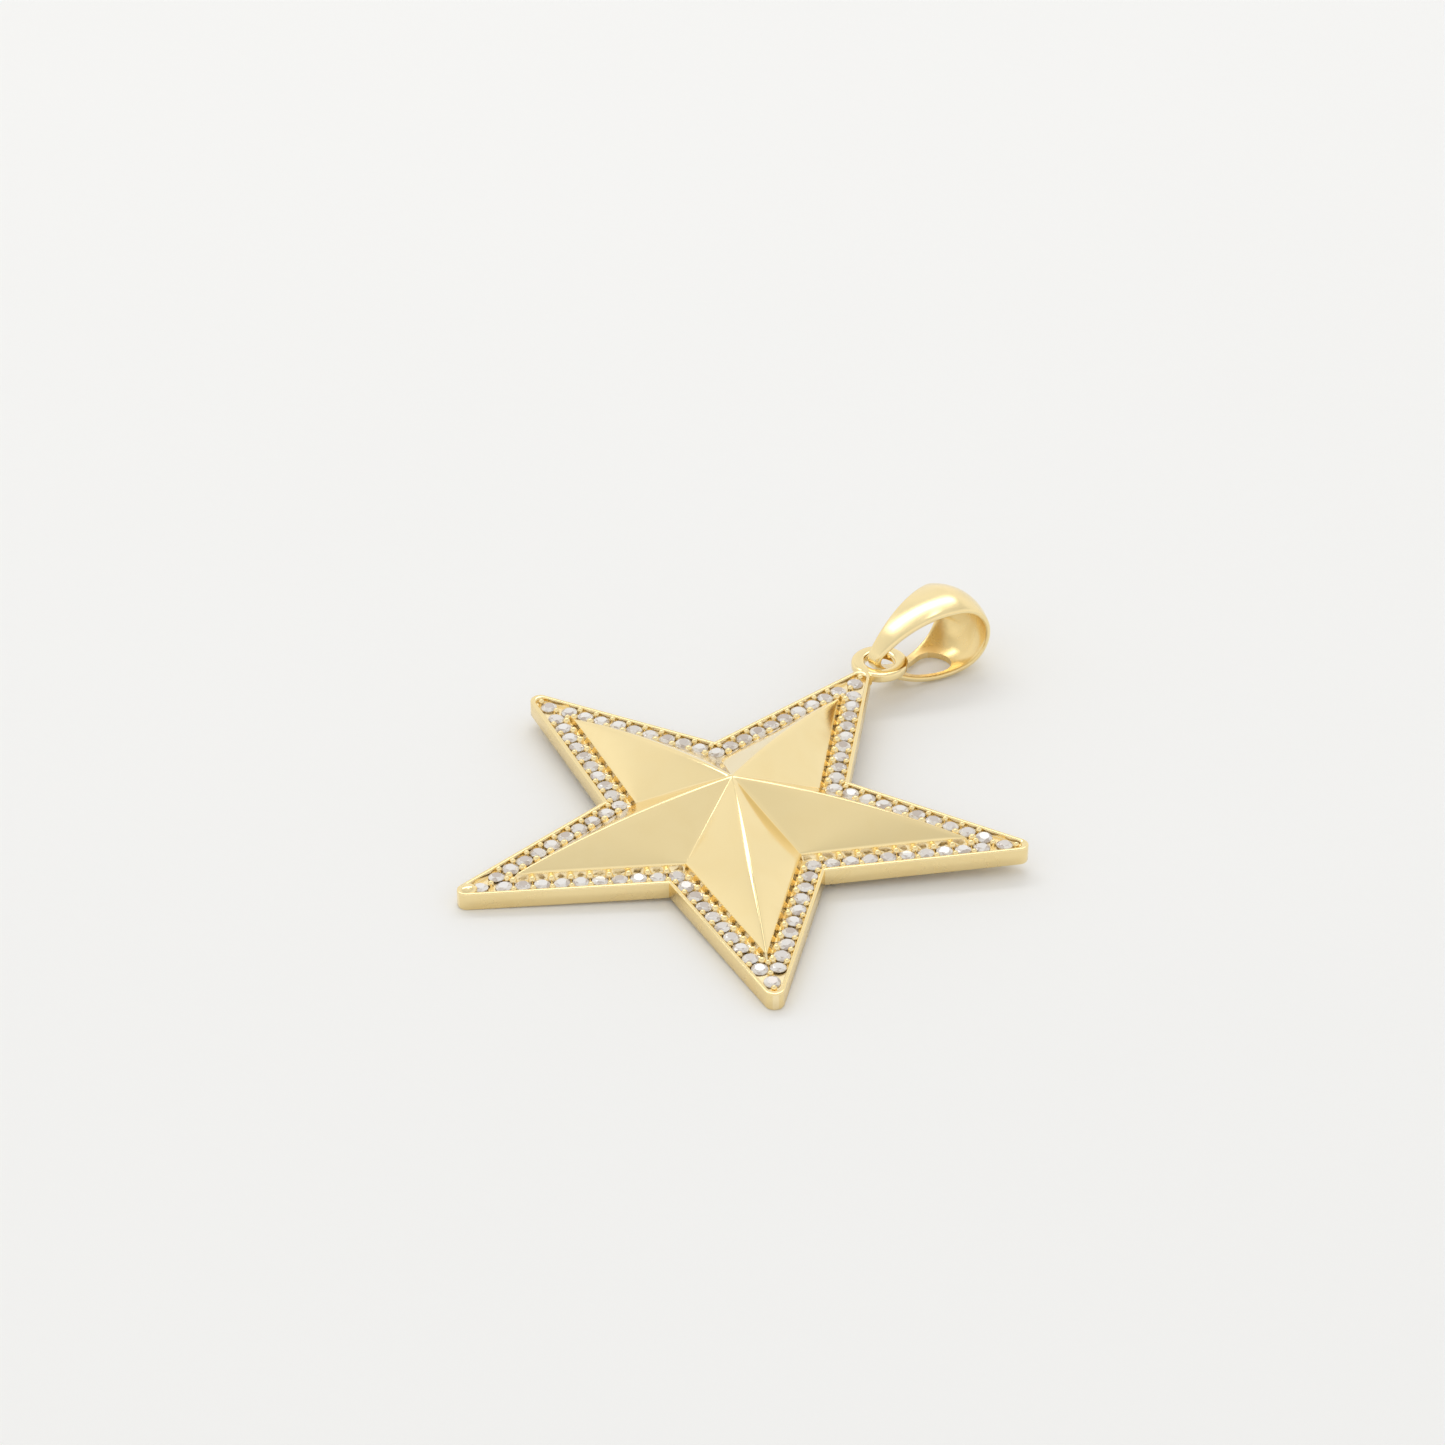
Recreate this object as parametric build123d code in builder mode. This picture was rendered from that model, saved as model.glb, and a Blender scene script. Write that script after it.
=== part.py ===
from build123d import *
import os
from math import atan2, cos, degrees, radians, sin, sqrt

os.makedirs("parts", exist_ok=True)

# Millimetres throughout. The pieces are drawn on a flat star: its centre at the origin, the rim's
# top face at height 0, the hanging tip towards +Y. At the end all of them are laid down together.

# Star plate
arm_count = 5
star_radius = 20.0
notch_radius = 8.3
tip_rounding = 0.63
plate_height = 1.2

# Rim and the channel that holds the stones
rim_width = 0.28
channel_depth = 0.42
channel_tip_rounding = 0.44

# Raised star, bowed ridges on the arms and straight valleys between them
raised_foot = 0.1
raised_peak = 3.0
ridge_bow = 0.5

# Hollow at the back, under the raised star
back_border = 0.85
back_step = 0.5
shell_thickness = 0.8

# Round stones, eight facets on the crown and eight on the pavilion
stone_facets = 8
stone_diameter = 1.05
stone_gap = 0.14
stone_pair_gap = 0.075
stone_rim_gap = 0.065
stone_inner_gap = 0.345
tip_stone_gap = 0.126
table_diameter = 0.62
culet_diameter = 0.08
crown_height = 0.15
girdle_height = 0.05
pavilion_height = 0.4
table_sink = 0.03
seat_gap = 0.07

# Beads that hold the stones
bead_radius = 0.17
bead_gap = 0.035
bead_chamfer = 0.07

# Loop at the hanging tip, a rounded wire on a short neck, soldered on a little to one side
loop_hole_radius = 1.0
loop_wire_width = 0.9
loop_wire_height = 0.66
loop_wire_rounding = 0.28
loop_stand = 1.61
loop_offset = 0.25
loop_depth = 0.36
neck_width = 1.3
neck_height = 0.66
neck_overlap = 0.6

# Bail, a domed band bent to a teardrop: a small round at the loop, a large one at the far end
bail_length = 5.3
bail_small_radius = 0.93
bail_large_radius = 2.95
upper_leg_radius = 9.0
lower_leg_radius = 7.8
bail_wall = 0.41
bail_dome = 0.9
bail_small_dome = 0.3
bail_narrow_width = 1.0
bail_wide_width = 5.5
bail_edge_rounding = 0.15
plan_overrun = 1.0

# Opening in the bail's back leg
window_start = 2.6
window_end = 4.6
window_start_radius = 0.7
window_end_radius = 1.25

# How the bail lies in the loop
bail_yaw = 22.0
bail_pitch = 0.5
bail_lift = 0.1
bail_play = 0.3

# The straight sides of a sharp star
half_arm = 180 / arm_count
side_rise = notch_radius * sin(radians(half_arm))
side_run = star_radius - notch_radius * cos(radians(half_arm))
tip_half_angle = atan2(side_rise, side_run)
side_distance = star_radius * sin(tip_half_angle)
first_arm = 90.0


def tip_reach(inset):
    """Distance from the centre to the tip of a star drawn inside the outer one."""
    return (side_distance - inset) / sin(tip_half_angle)


def notch_reach(inset):
    """Distance from the centre to the inner corner of a star drawn inside the outer one."""
    return (side_distance - inset) / sin(tip_half_angle + radians(half_arm))


def polar(reach, angle):
    """Point at a distance and an angle in degrees from the centre."""
    return (reach * cos(radians(angle)), reach * sin(radians(angle)))


def star_corners(inset):
    """Corners of the inset star, a tip and an inner corner in turn."""
    corners = []
    for arm in range(arm_count):
        tip_angle = first_arm + 2 * half_arm * arm
        corners.append(polar(tip_reach(inset), tip_angle))
        corners.append(polar(notch_reach(inset), tip_angle + half_arm))
    return corners


def star_prism(inset, rounding, bottom, top):
    """Straight-sided star between two heights, with rounded tips."""
    with BuildSketch(Plane.XY.offset(bottom)) as outline:
        with BuildLine():
            Polyline(*star_corners(inset), close=True)
        make_face()
        if rounding > 0:
            fillet(outline.vertices().sort_by_distance((0, 0, bottom))[-arm_count:], rounding)
    with BuildPart() as prism:
        extrude(outline.sketch, amount=top - bottom)
    return prism.part


def ridged_star(inset, foot, peak):
    """Raised star: each half arm is a cone from an inner corner over the bowed ridge."""
    with BuildSketch(Plane.XZ) as ridge:
        with BuildLine():
            Line((0, foot), (0, peak))
            SagittaArc((0, peak), (tip_reach(inset), foot), ridge_bow)
            Line((tip_reach(inset), foot), (0, foot))
        make_face()
    with BuildPart() as arm:
        for corner_angle in (half_arm, -half_arm):
            corner = Vertex(*polar(notch_reach(inset), corner_angle), foot)
            loft([ridge.sketch.face(), corner], ruled=True)
    with BuildPart() as ridged:
        with PolarLocations(0, arm_count, start_angle=first_arm):
            add(arm.part)
    return ridged.part


# Stone rows: one stone at each tip and each inner corner, the rest evenly along the ten sides
stone_radius = stone_diameter / 2
row_inset = rim_width + stone_radius + stone_rim_gap
raised_inset = row_inset + stone_radius + stone_inner_gap
row_length = side_run * tip_reach(row_inset) / (star_radius * cos(tip_half_angle))
pair_distance = (stone_radius + stone_pair_gap / 2) / sin(tip_half_angle)
row_steps = int((row_length - pair_distance) / (stone_diameter + stone_gap))
row_pitch = (row_length - pair_distance) / row_steps
tip_stone_reach = tip_reach(rim_width) - (stone_radius + tip_stone_gap) / sin(tip_half_angle)
bead_reach = stone_radius + bead_radius + bead_gap
bead_offset = sqrt(bead_reach**2 - (row_pitch / 2) ** 2)


def row_point(along, inward, side):
    """Point beside an arm's row, for an arm along +X: along it from its tip, and inward from it."""
    x = tip_reach(row_inset) - along * cos(tip_half_angle) - inward * sin(tip_half_angle)
    y = along * sin(tip_half_angle) - inward * cos(tip_half_angle)
    return (x, side * y)


arm_stones = [(tip_stone_reach, 0), row_point(row_length, 0, 1)]
first_bead = pair_distance + row_pitch / 2
pair_x, pair_y = row_point(pair_distance, 0, 1)
arm_beads = [
    (tip_stone_reach + bead_reach, 0),
    (tip_stone_reach - bead_reach, 0),
    (pair_x - sqrt(bead_reach**2 - pair_y**2), 0),
]
for side in (1, -1):
    for step in range(row_steps):
        arm_stones.append(row_point(pair_distance + step * row_pitch, 0, side))
        for inward in (bead_offset, -bead_offset):
            arm_beads.append(row_point(first_bead + step * row_pitch, inward, side))

# One stone, its table up
table_height = -table_sink
girdle_top = table_height - crown_height
girdle_bottom = girdle_top - girdle_height
culet_height = girdle_bottom - pavilion_height
flat_share = cos(radians(180 / stone_facets))
crown_run = (stone_diameter - table_diameter) / 2 * flat_share
pavilion_run = (stone_diameter - culet_diameter) / 2 * flat_share

with BuildPart() as pavilion:
    with BuildSketch():
        RegularPolygon(stone_radius, stone_facets, rotation=180 / stone_facets)
    extrude(amount=pavilion_height, taper=degrees(atan2(pavilion_run, pavilion_height)))

with BuildPart() as stone:
    with BuildSketch(Plane.XY.offset(girdle_bottom)):
        RegularPolygon(stone_radius, stone_facets, rotation=180 / stone_facets)
    extrude(amount=girdle_height)
    girdle_face = stone.faces().sort_by(Axis.Z)[-1]
    extrude(girdle_face, amount=crown_height, taper=degrees(atan2(crown_run, crown_height)))
    with Locations(Location((0, 0, girdle_bottom), (180, 0, 0))):
        add(pavilion.part)

with BuildPart() as flat_stones:
    with PolarLocations(0, arm_count, start_angle=first_arm):
        with Locations(*arm_stones):
            add(stone.part)

# One bead, from the channel's floor to the rim's height
with BuildPart() as bead:
    with Locations((0, 0, -channel_depth)):
        Cylinder(bead_radius, channel_depth, align=(Align.CENTER, Align.CENTER, Align.MIN))
    chamfer(bead.faces().sort_by(Axis.Z)[-1].edges(), bead_chamfer)

# The hole under a stone is as wide as the stone is at the floor, and a gap more
stone_at_floor = max(culet_diameter / 2, stone_radius * (-channel_depth - culet_height) / pavilion_height)
seat_radius = stone_at_floor + seat_gap
seat_centres = [(x, y, -plate_height) for x, y in arm_stones]

# The star's solids: outer plate, channel, raised star and the hollow behind it
outer_star = star_prism(0, tip_rounding, -plate_height, 0)
channel = star_prism(rim_width, channel_tip_rounding, -channel_depth, 0)
raised_wall = star_prism(raised_inset, 0, -channel_depth, raised_foot)
raised_star = ridged_star(raised_inset, raised_foot, raised_peak)
hollow_inset = raised_inset + back_border
hollow_foot = back_step - plate_height
hollow_wall = star_prism(hollow_inset, 0, -plate_height, hollow_foot)
hollow_star = ridged_star(hollow_inset, hollow_foot, raised_peak - shell_thickness)

# The loop stands off the rounded tip
tip_end = star_radius - tip_rounding / sin(tip_half_angle) + tip_rounding
loop_distance = tip_end + loop_stand
loop_radius = loop_hole_radius + loop_wire_width / 2
neck_start = tip_end - neck_overlap
neck_end = loop_distance - loop_radius

with BuildPart() as flat_star:
    add(outer_star)
    add(channel, mode=Mode.SUBTRACT)
    add(raised_wall)
    add(raised_star)
    add(hollow_wall, mode=Mode.SUBTRACT)
    add(hollow_star, mode=Mode.SUBTRACT)
    with PolarLocations(0, arm_count, start_angle=first_arm):
        with Locations(*arm_beads):
            add(bead.part)
    with PolarLocations(0, arm_count, start_angle=first_arm):
        with Locations(*seat_centres):
            Cylinder(
                seat_radius,
                plate_height - channel_depth,
                align=(Align.CENTER, Align.CENTER, Align.MIN),
                mode=Mode.SUBTRACT,
            )
    with Locations((loop_offset / 2, (neck_start + neck_end) / 2, -loop_depth)):
        Box(neck_width, neck_end - neck_start, neck_height)
    with BuildSketch(Plane.YZ.offset(loop_offset)):
        with Locations((loop_distance + loop_radius, -loop_depth)):
            RectangleRounded(loop_wire_width, loop_wire_height, loop_wire_rounding)
    revolve(axis=Axis((loop_offset, loop_distance, 0), (0, 0, 1)))


def teardrop_arcs(small, large, upper, lower):
    """Centre, radius, start and sweep of a teardrop's four arcs, each tangent to the next."""
    legs = []
    for leg_radius, side in ((upper, 1), (lower, -1)):
        to_small = leg_radius - small
        to_large = leg_radius - large
        x = (to_small**2 - to_large**2 + bail_length**2) / (2 * bail_length)
        y = -side * sqrt(to_small**2 - x**2)
        small_angle = degrees(atan2(-y, -x)) % 360
        large_angle = degrees(atan2(-y, bail_length - x)) % 360
        legs.append(((x, y), small_angle, large_angle))
    (upper_centre, upper_small, upper_large), (lower_centre, lower_small, lower_large) = legs
    return [
        (upper_centre, upper, upper_large, upper_small - upper_large),
        ((0, 0), small, upper_small, lower_small - upper_small),
        (lower_centre, lower, lower_small, lower_large - lower_small),
        ((bail_length, 0), large, lower_large, upper_large + 360 - lower_large),
    ]


# The bail's own directions, along it, across it and up from it, and its place in the loop
yaw = radians(bail_yaw)
pitch = radians(bail_pitch)
bail_along = Vector(sin(yaw) * cos(pitch), cos(yaw) * cos(pitch), sin(pitch))
bail_across = Vector(cos(yaw), -sin(yaw), 0)
bail_up = bail_across.cross(bail_along)
bail_start = bail_small_radius - loop_hole_radius + bail_play
bail_origin = (
    loop_offset + bail_start * sin(yaw),
    loop_distance + bail_start * cos(yaw),
    bail_lift,
)
bail_profile_plane = Plane(origin=bail_origin, x_dir=bail_along, z_dir=bail_across)
bail_plan_plane = Plane(origin=bail_origin, x_dir=bail_along, z_dir=bail_up)


def teardrop_body(inset):
    """Domed teardrop across the bail's whole width, inset from its outer surface."""
    half_width = bail_wide_width / 2
    with BuildPart() as body:
        for across in (-half_width, 0, half_width):
            dome = bail_dome if across else 0
            small_dome = bail_small_dome if across else 0
            arcs = teardrop_arcs(
                bail_small_radius - inset - small_dome,
                bail_large_radius - inset - dome,
                upper_leg_radius - inset - dome,
                lower_leg_radius - inset - dome,
            )
            with BuildSketch(bail_profile_plane.offset(across)):
                with BuildLine():
                    for centre, radius, start, sweep in arcs:
                        CenterArc(centre, radius, start, sweep)
                make_face()
        loft()
    return body.part


bail_outer = teardrop_body(0)
bail_inner = teardrop_body(bail_wall)
bail_back_end = -bail_small_radius
bail_far_end = bail_length + bail_large_radius
side_slope = (bail_wide_width - bail_narrow_width) / 2 / (bail_far_end - bail_back_end)


def plan_corner(along, side):
    """Point on a side of the bail's plan, which widens evenly towards the far end."""
    return (along, side * (bail_narrow_width / 2 + side_slope * (along - bail_back_end)))


plan_start = bail_back_end - plan_overrun
plan_end = bail_far_end + plan_overrun
plan_corners = [
    plan_corner(plan_start, 1),
    plan_corner(plan_end, 1),
    plan_corner(plan_end, -1),
    plan_corner(plan_start, -1),
]

with BuildPart() as flat_bail:
    add(bail_outer)
    with BuildSketch(bail_plan_plane):
        with BuildLine():
            Polyline(*plan_corners, close=True)
        make_face()
    extrude(amount=bail_far_end, both=True, mode=Mode.INTERSECT)
    add(bail_inner, mode=Mode.SUBTRACT)
    rims = flat_bail.faces().filter_by(GeomType.PLANE).sort_by(SortBy.AREA)[-2:]
    fillet([edge for rim in rims for edge in rim.outer_wire().edges()], bail_edge_rounding)
    with BuildSketch(bail_plan_plane):
        with Locations((window_start, 0)):
            Circle(window_start_radius)
        with Locations((window_end, 0)):
            Circle(window_end_radius)
        make_hull()
    extrude(amount=-bail_far_end, mode=Mode.SUBTRACT)

# Laid on a flat surface: the plate's two front tips touch it, and the bail's belly at the back
front = outer_star.bounding_box().min.Y
front_edge = Axis((0, front, -plate_height), (1, 0, 0))
bail_distance = loop_distance + bail_length / 2 - front
settling_steps = 4
lie_angle = 0.0
for step in range(settling_steps):
    turned_bail = flat_bail.part.rotate(front_edge, lie_angle)
    bail_height = turned_bail.bounding_box().min.Z + plate_height
    lie_angle -= degrees(atan2(bail_height, bail_distance))

# The origin is under the middle of all the pieces, on the surface they lie on
tilt = Location((0, 0, 0), (lie_angle, 0, 0))
extents = Compound(children=[outer_star.moved(tilt), flat_bail.part.moved(tilt)]).bounding_box()
middle = extents.center()
resting = Location((-middle.X, -middle.Y, -extents.min.Z), (lie_angle, 0, 0))

with BuildPart() as star:
    with Locations(resting):
        add(flat_star.part)
with BuildPart() as bail:
    with Locations(resting):
        add(flat_bail.part)
with BuildPart() as stones:
    with Locations(resting):
        add(flat_stones.part)

star.part.label = "star"
bail.part.label = "bail"
stones.part.label = "stones"
export_step(star.part, "parts/star.step")
export_step(bail.part, "parts/bail.step")
export_step(stones.part, "parts/stones.step")

stone_count = len(stones.part.solids())
print(f"Lies at {lie_angle:.3f} degrees, flat star's centre at {-middle.Y:.4f}, {-extents.min.Z:.4f}")
print(f"{stone_count} stones, volumes in mm3:")
for piece in (star, bail, stones):
    print(piece.part.label, round(piece.part.volume, 2), "valid" if piece.part.is_valid else "not valid")
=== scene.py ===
"""Gold star pendant with a stone-set border and a teardrop bail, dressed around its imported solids.

Every piece is drawn in millimetres on a flat star, its centre at the origin, the rim's top face at
height 0 and the hanging tip towards +Y, and then laid down the way the pendant rests.
"""
import logging
import math
from dataclasses import dataclass, field
from enum import Enum, IntEnum
from typing import Callable, Iterable, Mapping, Sequence

import bmesh
import bpy
from mathutils import Matrix, Vector

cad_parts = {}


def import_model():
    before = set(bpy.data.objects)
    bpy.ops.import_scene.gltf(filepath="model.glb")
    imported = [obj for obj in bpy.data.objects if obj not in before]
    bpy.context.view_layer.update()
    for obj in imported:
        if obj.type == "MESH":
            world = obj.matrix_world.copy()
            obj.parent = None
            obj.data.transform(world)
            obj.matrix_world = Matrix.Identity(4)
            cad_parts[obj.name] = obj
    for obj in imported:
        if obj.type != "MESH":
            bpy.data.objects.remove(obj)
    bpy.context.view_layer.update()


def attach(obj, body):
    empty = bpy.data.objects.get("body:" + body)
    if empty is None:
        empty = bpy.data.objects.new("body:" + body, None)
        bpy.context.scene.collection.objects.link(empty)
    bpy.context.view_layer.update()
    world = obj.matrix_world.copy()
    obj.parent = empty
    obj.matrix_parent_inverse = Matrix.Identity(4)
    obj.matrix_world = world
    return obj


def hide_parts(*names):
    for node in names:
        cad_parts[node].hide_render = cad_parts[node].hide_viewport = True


LOG = logging.getLogger("star_pendant")
MM = 0.001
Flat = tuple[float, float]
Point = tuple[float, float, float]
Colour = tuple[float, float, float, float]
Piece = bpy.types.Object
Finish = bpy.types.Material
ShaderGroup = bpy.types.ShaderNodeTree
Socket = bpy.types.NodeSocket
Value = float | Sequence[float] | Socket
Values = Mapping[str | int, Value]


class Slot(Enum):
    """Material slots of the record."""

    GOLD = "gold"
    STONE = "stone"


class StarFinish(IntEnum):
    """Finishes of the star, in the order of its materials."""

    POLISHED = 0
    SATIN = 1
    CHANNEL = 2


class CutMode(Enum):
    """What a tool body does to a piece."""

    JOIN = "UNION"
    CUT = "DIFFERENCE"


class Sum(Enum):
    """What a math node works out."""

    PRODUCT = "MULTIPLY"
    TOTAL = "ADD"
    PRODUCT_AND_TOTAL = "MULTIPLY_ADD"


@dataclass(frozen=True)
class Resting:
    """How the flat star is laid down.

    Attributes:
        tilt: Turn about the X axis, in degrees.
        forward: Move along Y, in millimetres.
        rise: Move along Z, in millimetres.
    """

    tilt: float = 2.215
    forward: float = -6.6237
    rise: float = 1.7917

    def matrix(self) -> Matrix:
        """Matrix from the flat star in millimetres to the resting pendant in metres."""
        turn = Matrix.Rotation(math.radians(self.tilt), 4, "X")
        return Matrix.Scale(MM, 4) @ Matrix.Translation((0.0, self.forward, self.rise)) @ turn

    def turn(self) -> Matrix:
        """The turn alone, for directions."""
        return Matrix.Rotation(math.radians(self.tilt), 3, "X")

    def lay_down(self, piece: Piece) -> None:
        """Moves a flat piece to where the pendant rests, in metres."""
        piece.data.transform(self.matrix())
        piece.data.update()


RESTING = Resting()


def circle(radius: float, height: float, sides: int, phase: float = 0.0) -> list[Point]:
    """Even points round an upright axis, anticlockwise, the first a share of a step past +X."""
    turns = [2.0 * math.pi * (i + phase) / sides for i in range(sides)]
    return [(radius * math.cos(turn), radius * math.sin(turn), height) for turn in turns]


def blunt_oval(half_width: float, half_height: float, bluntness: float, sides: int) -> list[Flat]:
    """An outline between an ellipse and a rectangle.

    Args:
        half_width: Half of its width.
        half_height: Half of its height.
        bluntness: Power of the sine and cosine, 1 for an ellipse and less for a blunter shape.
        sides: Its number of points.

    Returns:
        The points, anticlockwise.
    """
    points = []
    for c, s, _ in circle(1.0, 0.0, sides):
        x = half_width * math.copysign(abs(c) ** bluntness, c)
        points.append((x, half_height * math.copysign(abs(s) ** bluntness, s)))
    return points


def turned(points: Iterable[Flat], angle: float) -> list[Flat]:
    """Flat points turned about the centre."""
    c, s = math.cos(angle), math.sin(angle)
    return [(x * c - y * s, x * s + y * c) for x, y in points]


class MeshDraft:
    """Vertices and faces of closed bodies, gathered ring by ring."""

    def __init__(self) -> None:
        """Starts with nothing."""
        self.points: list[Point] = []
        self.faces: list[tuple[int, ...]] = []

    def add_ring(self, ring: Iterable[Sequence[float]]) -> list[int]:
        """Adds a ring of points.

        Args:
            ring: The points in order.

        Returns:
            The indices of the new points.
        """
        start = len(self.points)
        self.points.extend(tuple(float(c) for c in point) for point in ring)
        return list(range(start, len(self.points)))

    def add_skin(self, rings: Iterable[Iterable[Sequence[float]]], closed: bool = False) -> list[list[int]]:
        """Adds rings of equal length and joins each to the next with four-sided faces.

        Args:
            rings: The rings, their points in the same order.
            closed: Whether the last ring is joined to the first.

        Returns:
            The indices of each ring's points.
        """
        added = [self.add_ring(ring) for ring in rings]
        for first, second in zip(added, added[1:] + added[:1] if closed else added[1:]):
            for i, start in enumerate(first):
                j = (i + 1) % len(first)
                self.faces.append((start, first[j], second[j], second[i]))
        return added

    def close_to(self, ring: list[int], centre: Sequence[float], outward: bool = True) -> None:
        """Closes a ring with triangles to a centre point.

        Args:
            ring: Indices of the ring.
            centre: The point in the middle.
            outward: Whether the triangles run in the ring's order.
        """
        middle = self.add_ring([centre])[0]
        for i, start in enumerate(ring):
            end = ring[(i + 1) % len(ring)]
            self.faces.append((start, end, middle) if outward else (end, start, middle))

    def cap(self, ring: list[int], flip: bool = False) -> None:
        """Closes a flat ring with one face."""
        self.faces.append(tuple(reversed(ring)) if flip else tuple(ring))

    def add_post(self, middle: Flat, profile: Sequence[Flat], sides: int, top: float | None = None) -> None:
        """Adds an upright round body.

        Args:
            middle: Where it stands.
            profile: Radius and height of each ring, from the lowest up.
            sides: Its number of sides.
            top: Height of the point that closes it, or None for a flat top.
        """
        x, y = middle
        rings = self.add_skin(
            [(x + along, y + across, z) for along, across, z in circle(radius, height, sides)]
            for radius, height in profile
        )
        self.cap(rings[0], flip=True)
        if top is None:
            self.cap(rings[-1])
        else:
            self.close_to(rings[-1], (x, y, top))

    def add_copy(self, points: Iterable[Sequence[float]], faces: Iterable[Sequence[int]]) -> None:
        """Adds a copy of a ready body, its faces given as indices into its points."""
        start = self.add_ring(points)[0]
        self.faces.extend(tuple(start + i for i in face) for face in faces)

    def build(self, name: str) -> Piece:
        """Makes the mesh object, its normals outward.

        Args:
            name: The object's name.

        Returns:
            The new object, still flat and in millimetres.
        """
        mesh = bpy.data.meshes.new(name)
        mesh.from_pydata(self.points, [], self.faces)
        body = bmesh.new()
        body.from_mesh(mesh)
        bmesh.ops.recalc_face_normals(body, faces=body.faces)
        body.to_mesh(mesh)
        body.free()
        piece = bpy.data.objects.new(name, mesh)
        bpy.context.scene.collection.objects.link(piece)
        return piece


def work_with(piece: Piece, tool: Piece, mode: CutMode) -> None:
    """Joins a tool body to a piece or cuts it away, and deletes the tool.

    Args:
        piece: The piece to change.
        tool: The body to join or cut with.
        mode: Whether it is joined or cut.
    """
    modifier = piece.modifiers.new(mode.value, "BOOLEAN")
    modifier.operation = mode.value
    modifier.solver = "MANIFOLD"
    modifier.object = tool
    bpy.context.view_layer.update()
    evaluated = piece.evaluated_get(bpy.context.evaluated_depsgraph_get())
    worked, old, tool_mesh = bpy.data.meshes.new_from_object(evaluated), piece.data, tool.data
    piece.modifiers.clear()
    name = old.name
    piece.data = worked
    bpy.data.meshes.remove(old)
    worked.name = name
    bpy.data.objects.remove(tool)
    bpy.data.meshes.remove(tool_mesh)


def soften(piece: Piece, crease_angle: float) -> None:
    """Shades a piece smoothly, with creases where faces meet at more than an angle.

    Args:
        piece: The piece to shade.
        crease_angle: Angle between faces that stays a crease, in degrees.
    """
    body = bmesh.new()
    body.from_mesh(piece.data)
    for face in body.faces:
        face.smooth = True
    limit = math.radians(crease_angle)
    for edge in body.edges:
        edge.smooth = not edge.is_manifold or edge.calc_face_angle(0.0) < limit
    body.to_mesh(piece.data)
    body.free()


def paint(
    piece: Piece, finishes: Sequence[Finish], pick: Callable[[bpy.types.MeshPolygon], int] | None = None
) -> None:
    """Gives a piece its materials, in place of the empty slot that a cut leaves.

    Args:
        piece: The piece to paint.
        finishes: Its materials.
        pick: Gives the number of a face's material, or None where there is only one.
    """
    piece.data.materials.clear()
    for finish in finishes:
        piece.data.materials.append(finish)
    if pick is not None:
        for face in piece.data.polygons:
            face.material_index = pick(face)


class NodeDraft:
    """A node tree while it is being wired."""

    def __init__(self, tree: ShaderGroup) -> None:
        """Takes the tree to wire."""
        self.tree = tree

    def feed(self, target: Socket, value: Value) -> None:
        """Links a socket to another one, or sets it to a plain value.

        Args:
            target: The input to feed.
            value: The output that feeds it, or its value.
        """
        if isinstance(value, Socket):
            self.tree.links.new(value, target)
        else:
            target.default_value = value

    def node(self, kind: str, values: Values, **settings: object) -> bpy.types.Node:
        """Adds a node.

        Args:
            kind: Blender's name of the node.
            values: What its inputs are fed with, by name or number.
            **settings: Its own properties.

        Returns:
            The new node.
        """
        made = self.tree.nodes.new(kind)
        for name, setting in settings.items():
            setattr(made, name, setting)
        for name, value in values.items():
            self.feed(made.inputs[name], value)
        return made

    def noise(self, place: Socket, scale: Value, detail: float, **more: Value) -> Socket:
        """Adds a noise.

        Args:
            place: Where it is read.
            scale: Its scale.
            detail: Its detail.
            **more: Its other inputs. With W it has four dimensions.

        Returns:
            The noise's value.
        """
        values = {"Vector": place, "Scale": scale, "Detail": detail, **more}
        dimensions = "4D" if "W" in more else "3D"
        return self.node("ShaderNodeTexNoise", values, noise_dimensions=dimensions).outputs["Fac"]

    def work_out(self, kind: Sum, *values: Value, clamp: bool = False) -> Socket:
        """Adds a sum of values and returns its result, which clamp holds between 0 and 1."""
        made = self.node("ShaderNodeMath", dict(enumerate(values)), operation=kind.value, use_clamp=clamp)
        return made.outputs[0]

    def ranged(self, value: Socket, low: Value, high: Value, start: float = 0.0, end: float = 1.0) -> Socket:
        """Stretches a value to a new range.

        Args:
            value: The value.
            low: Its value at the range's start.
            high: Its value at the range's end.
            start: Start of the new range.
            end: End of the new range.

        Returns:
            The value in the new range.
        """
        ends = {"From Min": low, "From Max": high, "To Min": start, "To Max": end}
        return self.node("ShaderNodeMapRange", {"Value": value, **ends}).outputs["Result"]

    def mix(self, share: Socket, first: Value, second: Value) -> Socket:
        """Mixes two colours and returns the result."""
        values = {"Factor": share, "A": first, "B": second}
        return self.node("ShaderNodeMix", values, data_type="RGBA").outputs["Result"]


class GroupDraft(NodeDraft):
    """A shared shader group while it is being wired."""

    def __init__(self, name: str, **values: float | Colour) -> None:
        """Starts a group.

        Args:
            name: Its name.
            **values: Its inputs and their usual values.
        """
        super().__init__(bpy.data.node_groups.new(name, "ShaderNodeTree"))
        self.given = self.tree.nodes.new("NodeGroupInput").outputs
        self.exit = self.tree.nodes.new("NodeGroupOutput")
        for title, value in values.items():
            kind = "NodeSocketFloat" if isinstance(value, float) else "NodeSocketColor"
            socket = self.tree.interface.new_socket(title, in_out="INPUT", socket_type=kind)
            socket.default_value = value

    def place(self) -> Socket:
        """Adds the piece's own coordinates and returns them."""
        return self.node("ShaderNodeTexCoord", {}).outputs["Object"]

    def give(self, title: str, source: Socket) -> None:
        """Adds an output to the group.

        Args:
            title: Its name.
            source: The socket that feeds it.
        """
        kind = "NodeSocketColor" if source.type == "RGBA" else "NodeSocketFloat"
        self.tree.interface.new_socket(title, in_out="OUTPUT", socket_type=kind)
        self.feed(self.exit.inputs[title], source)


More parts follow.
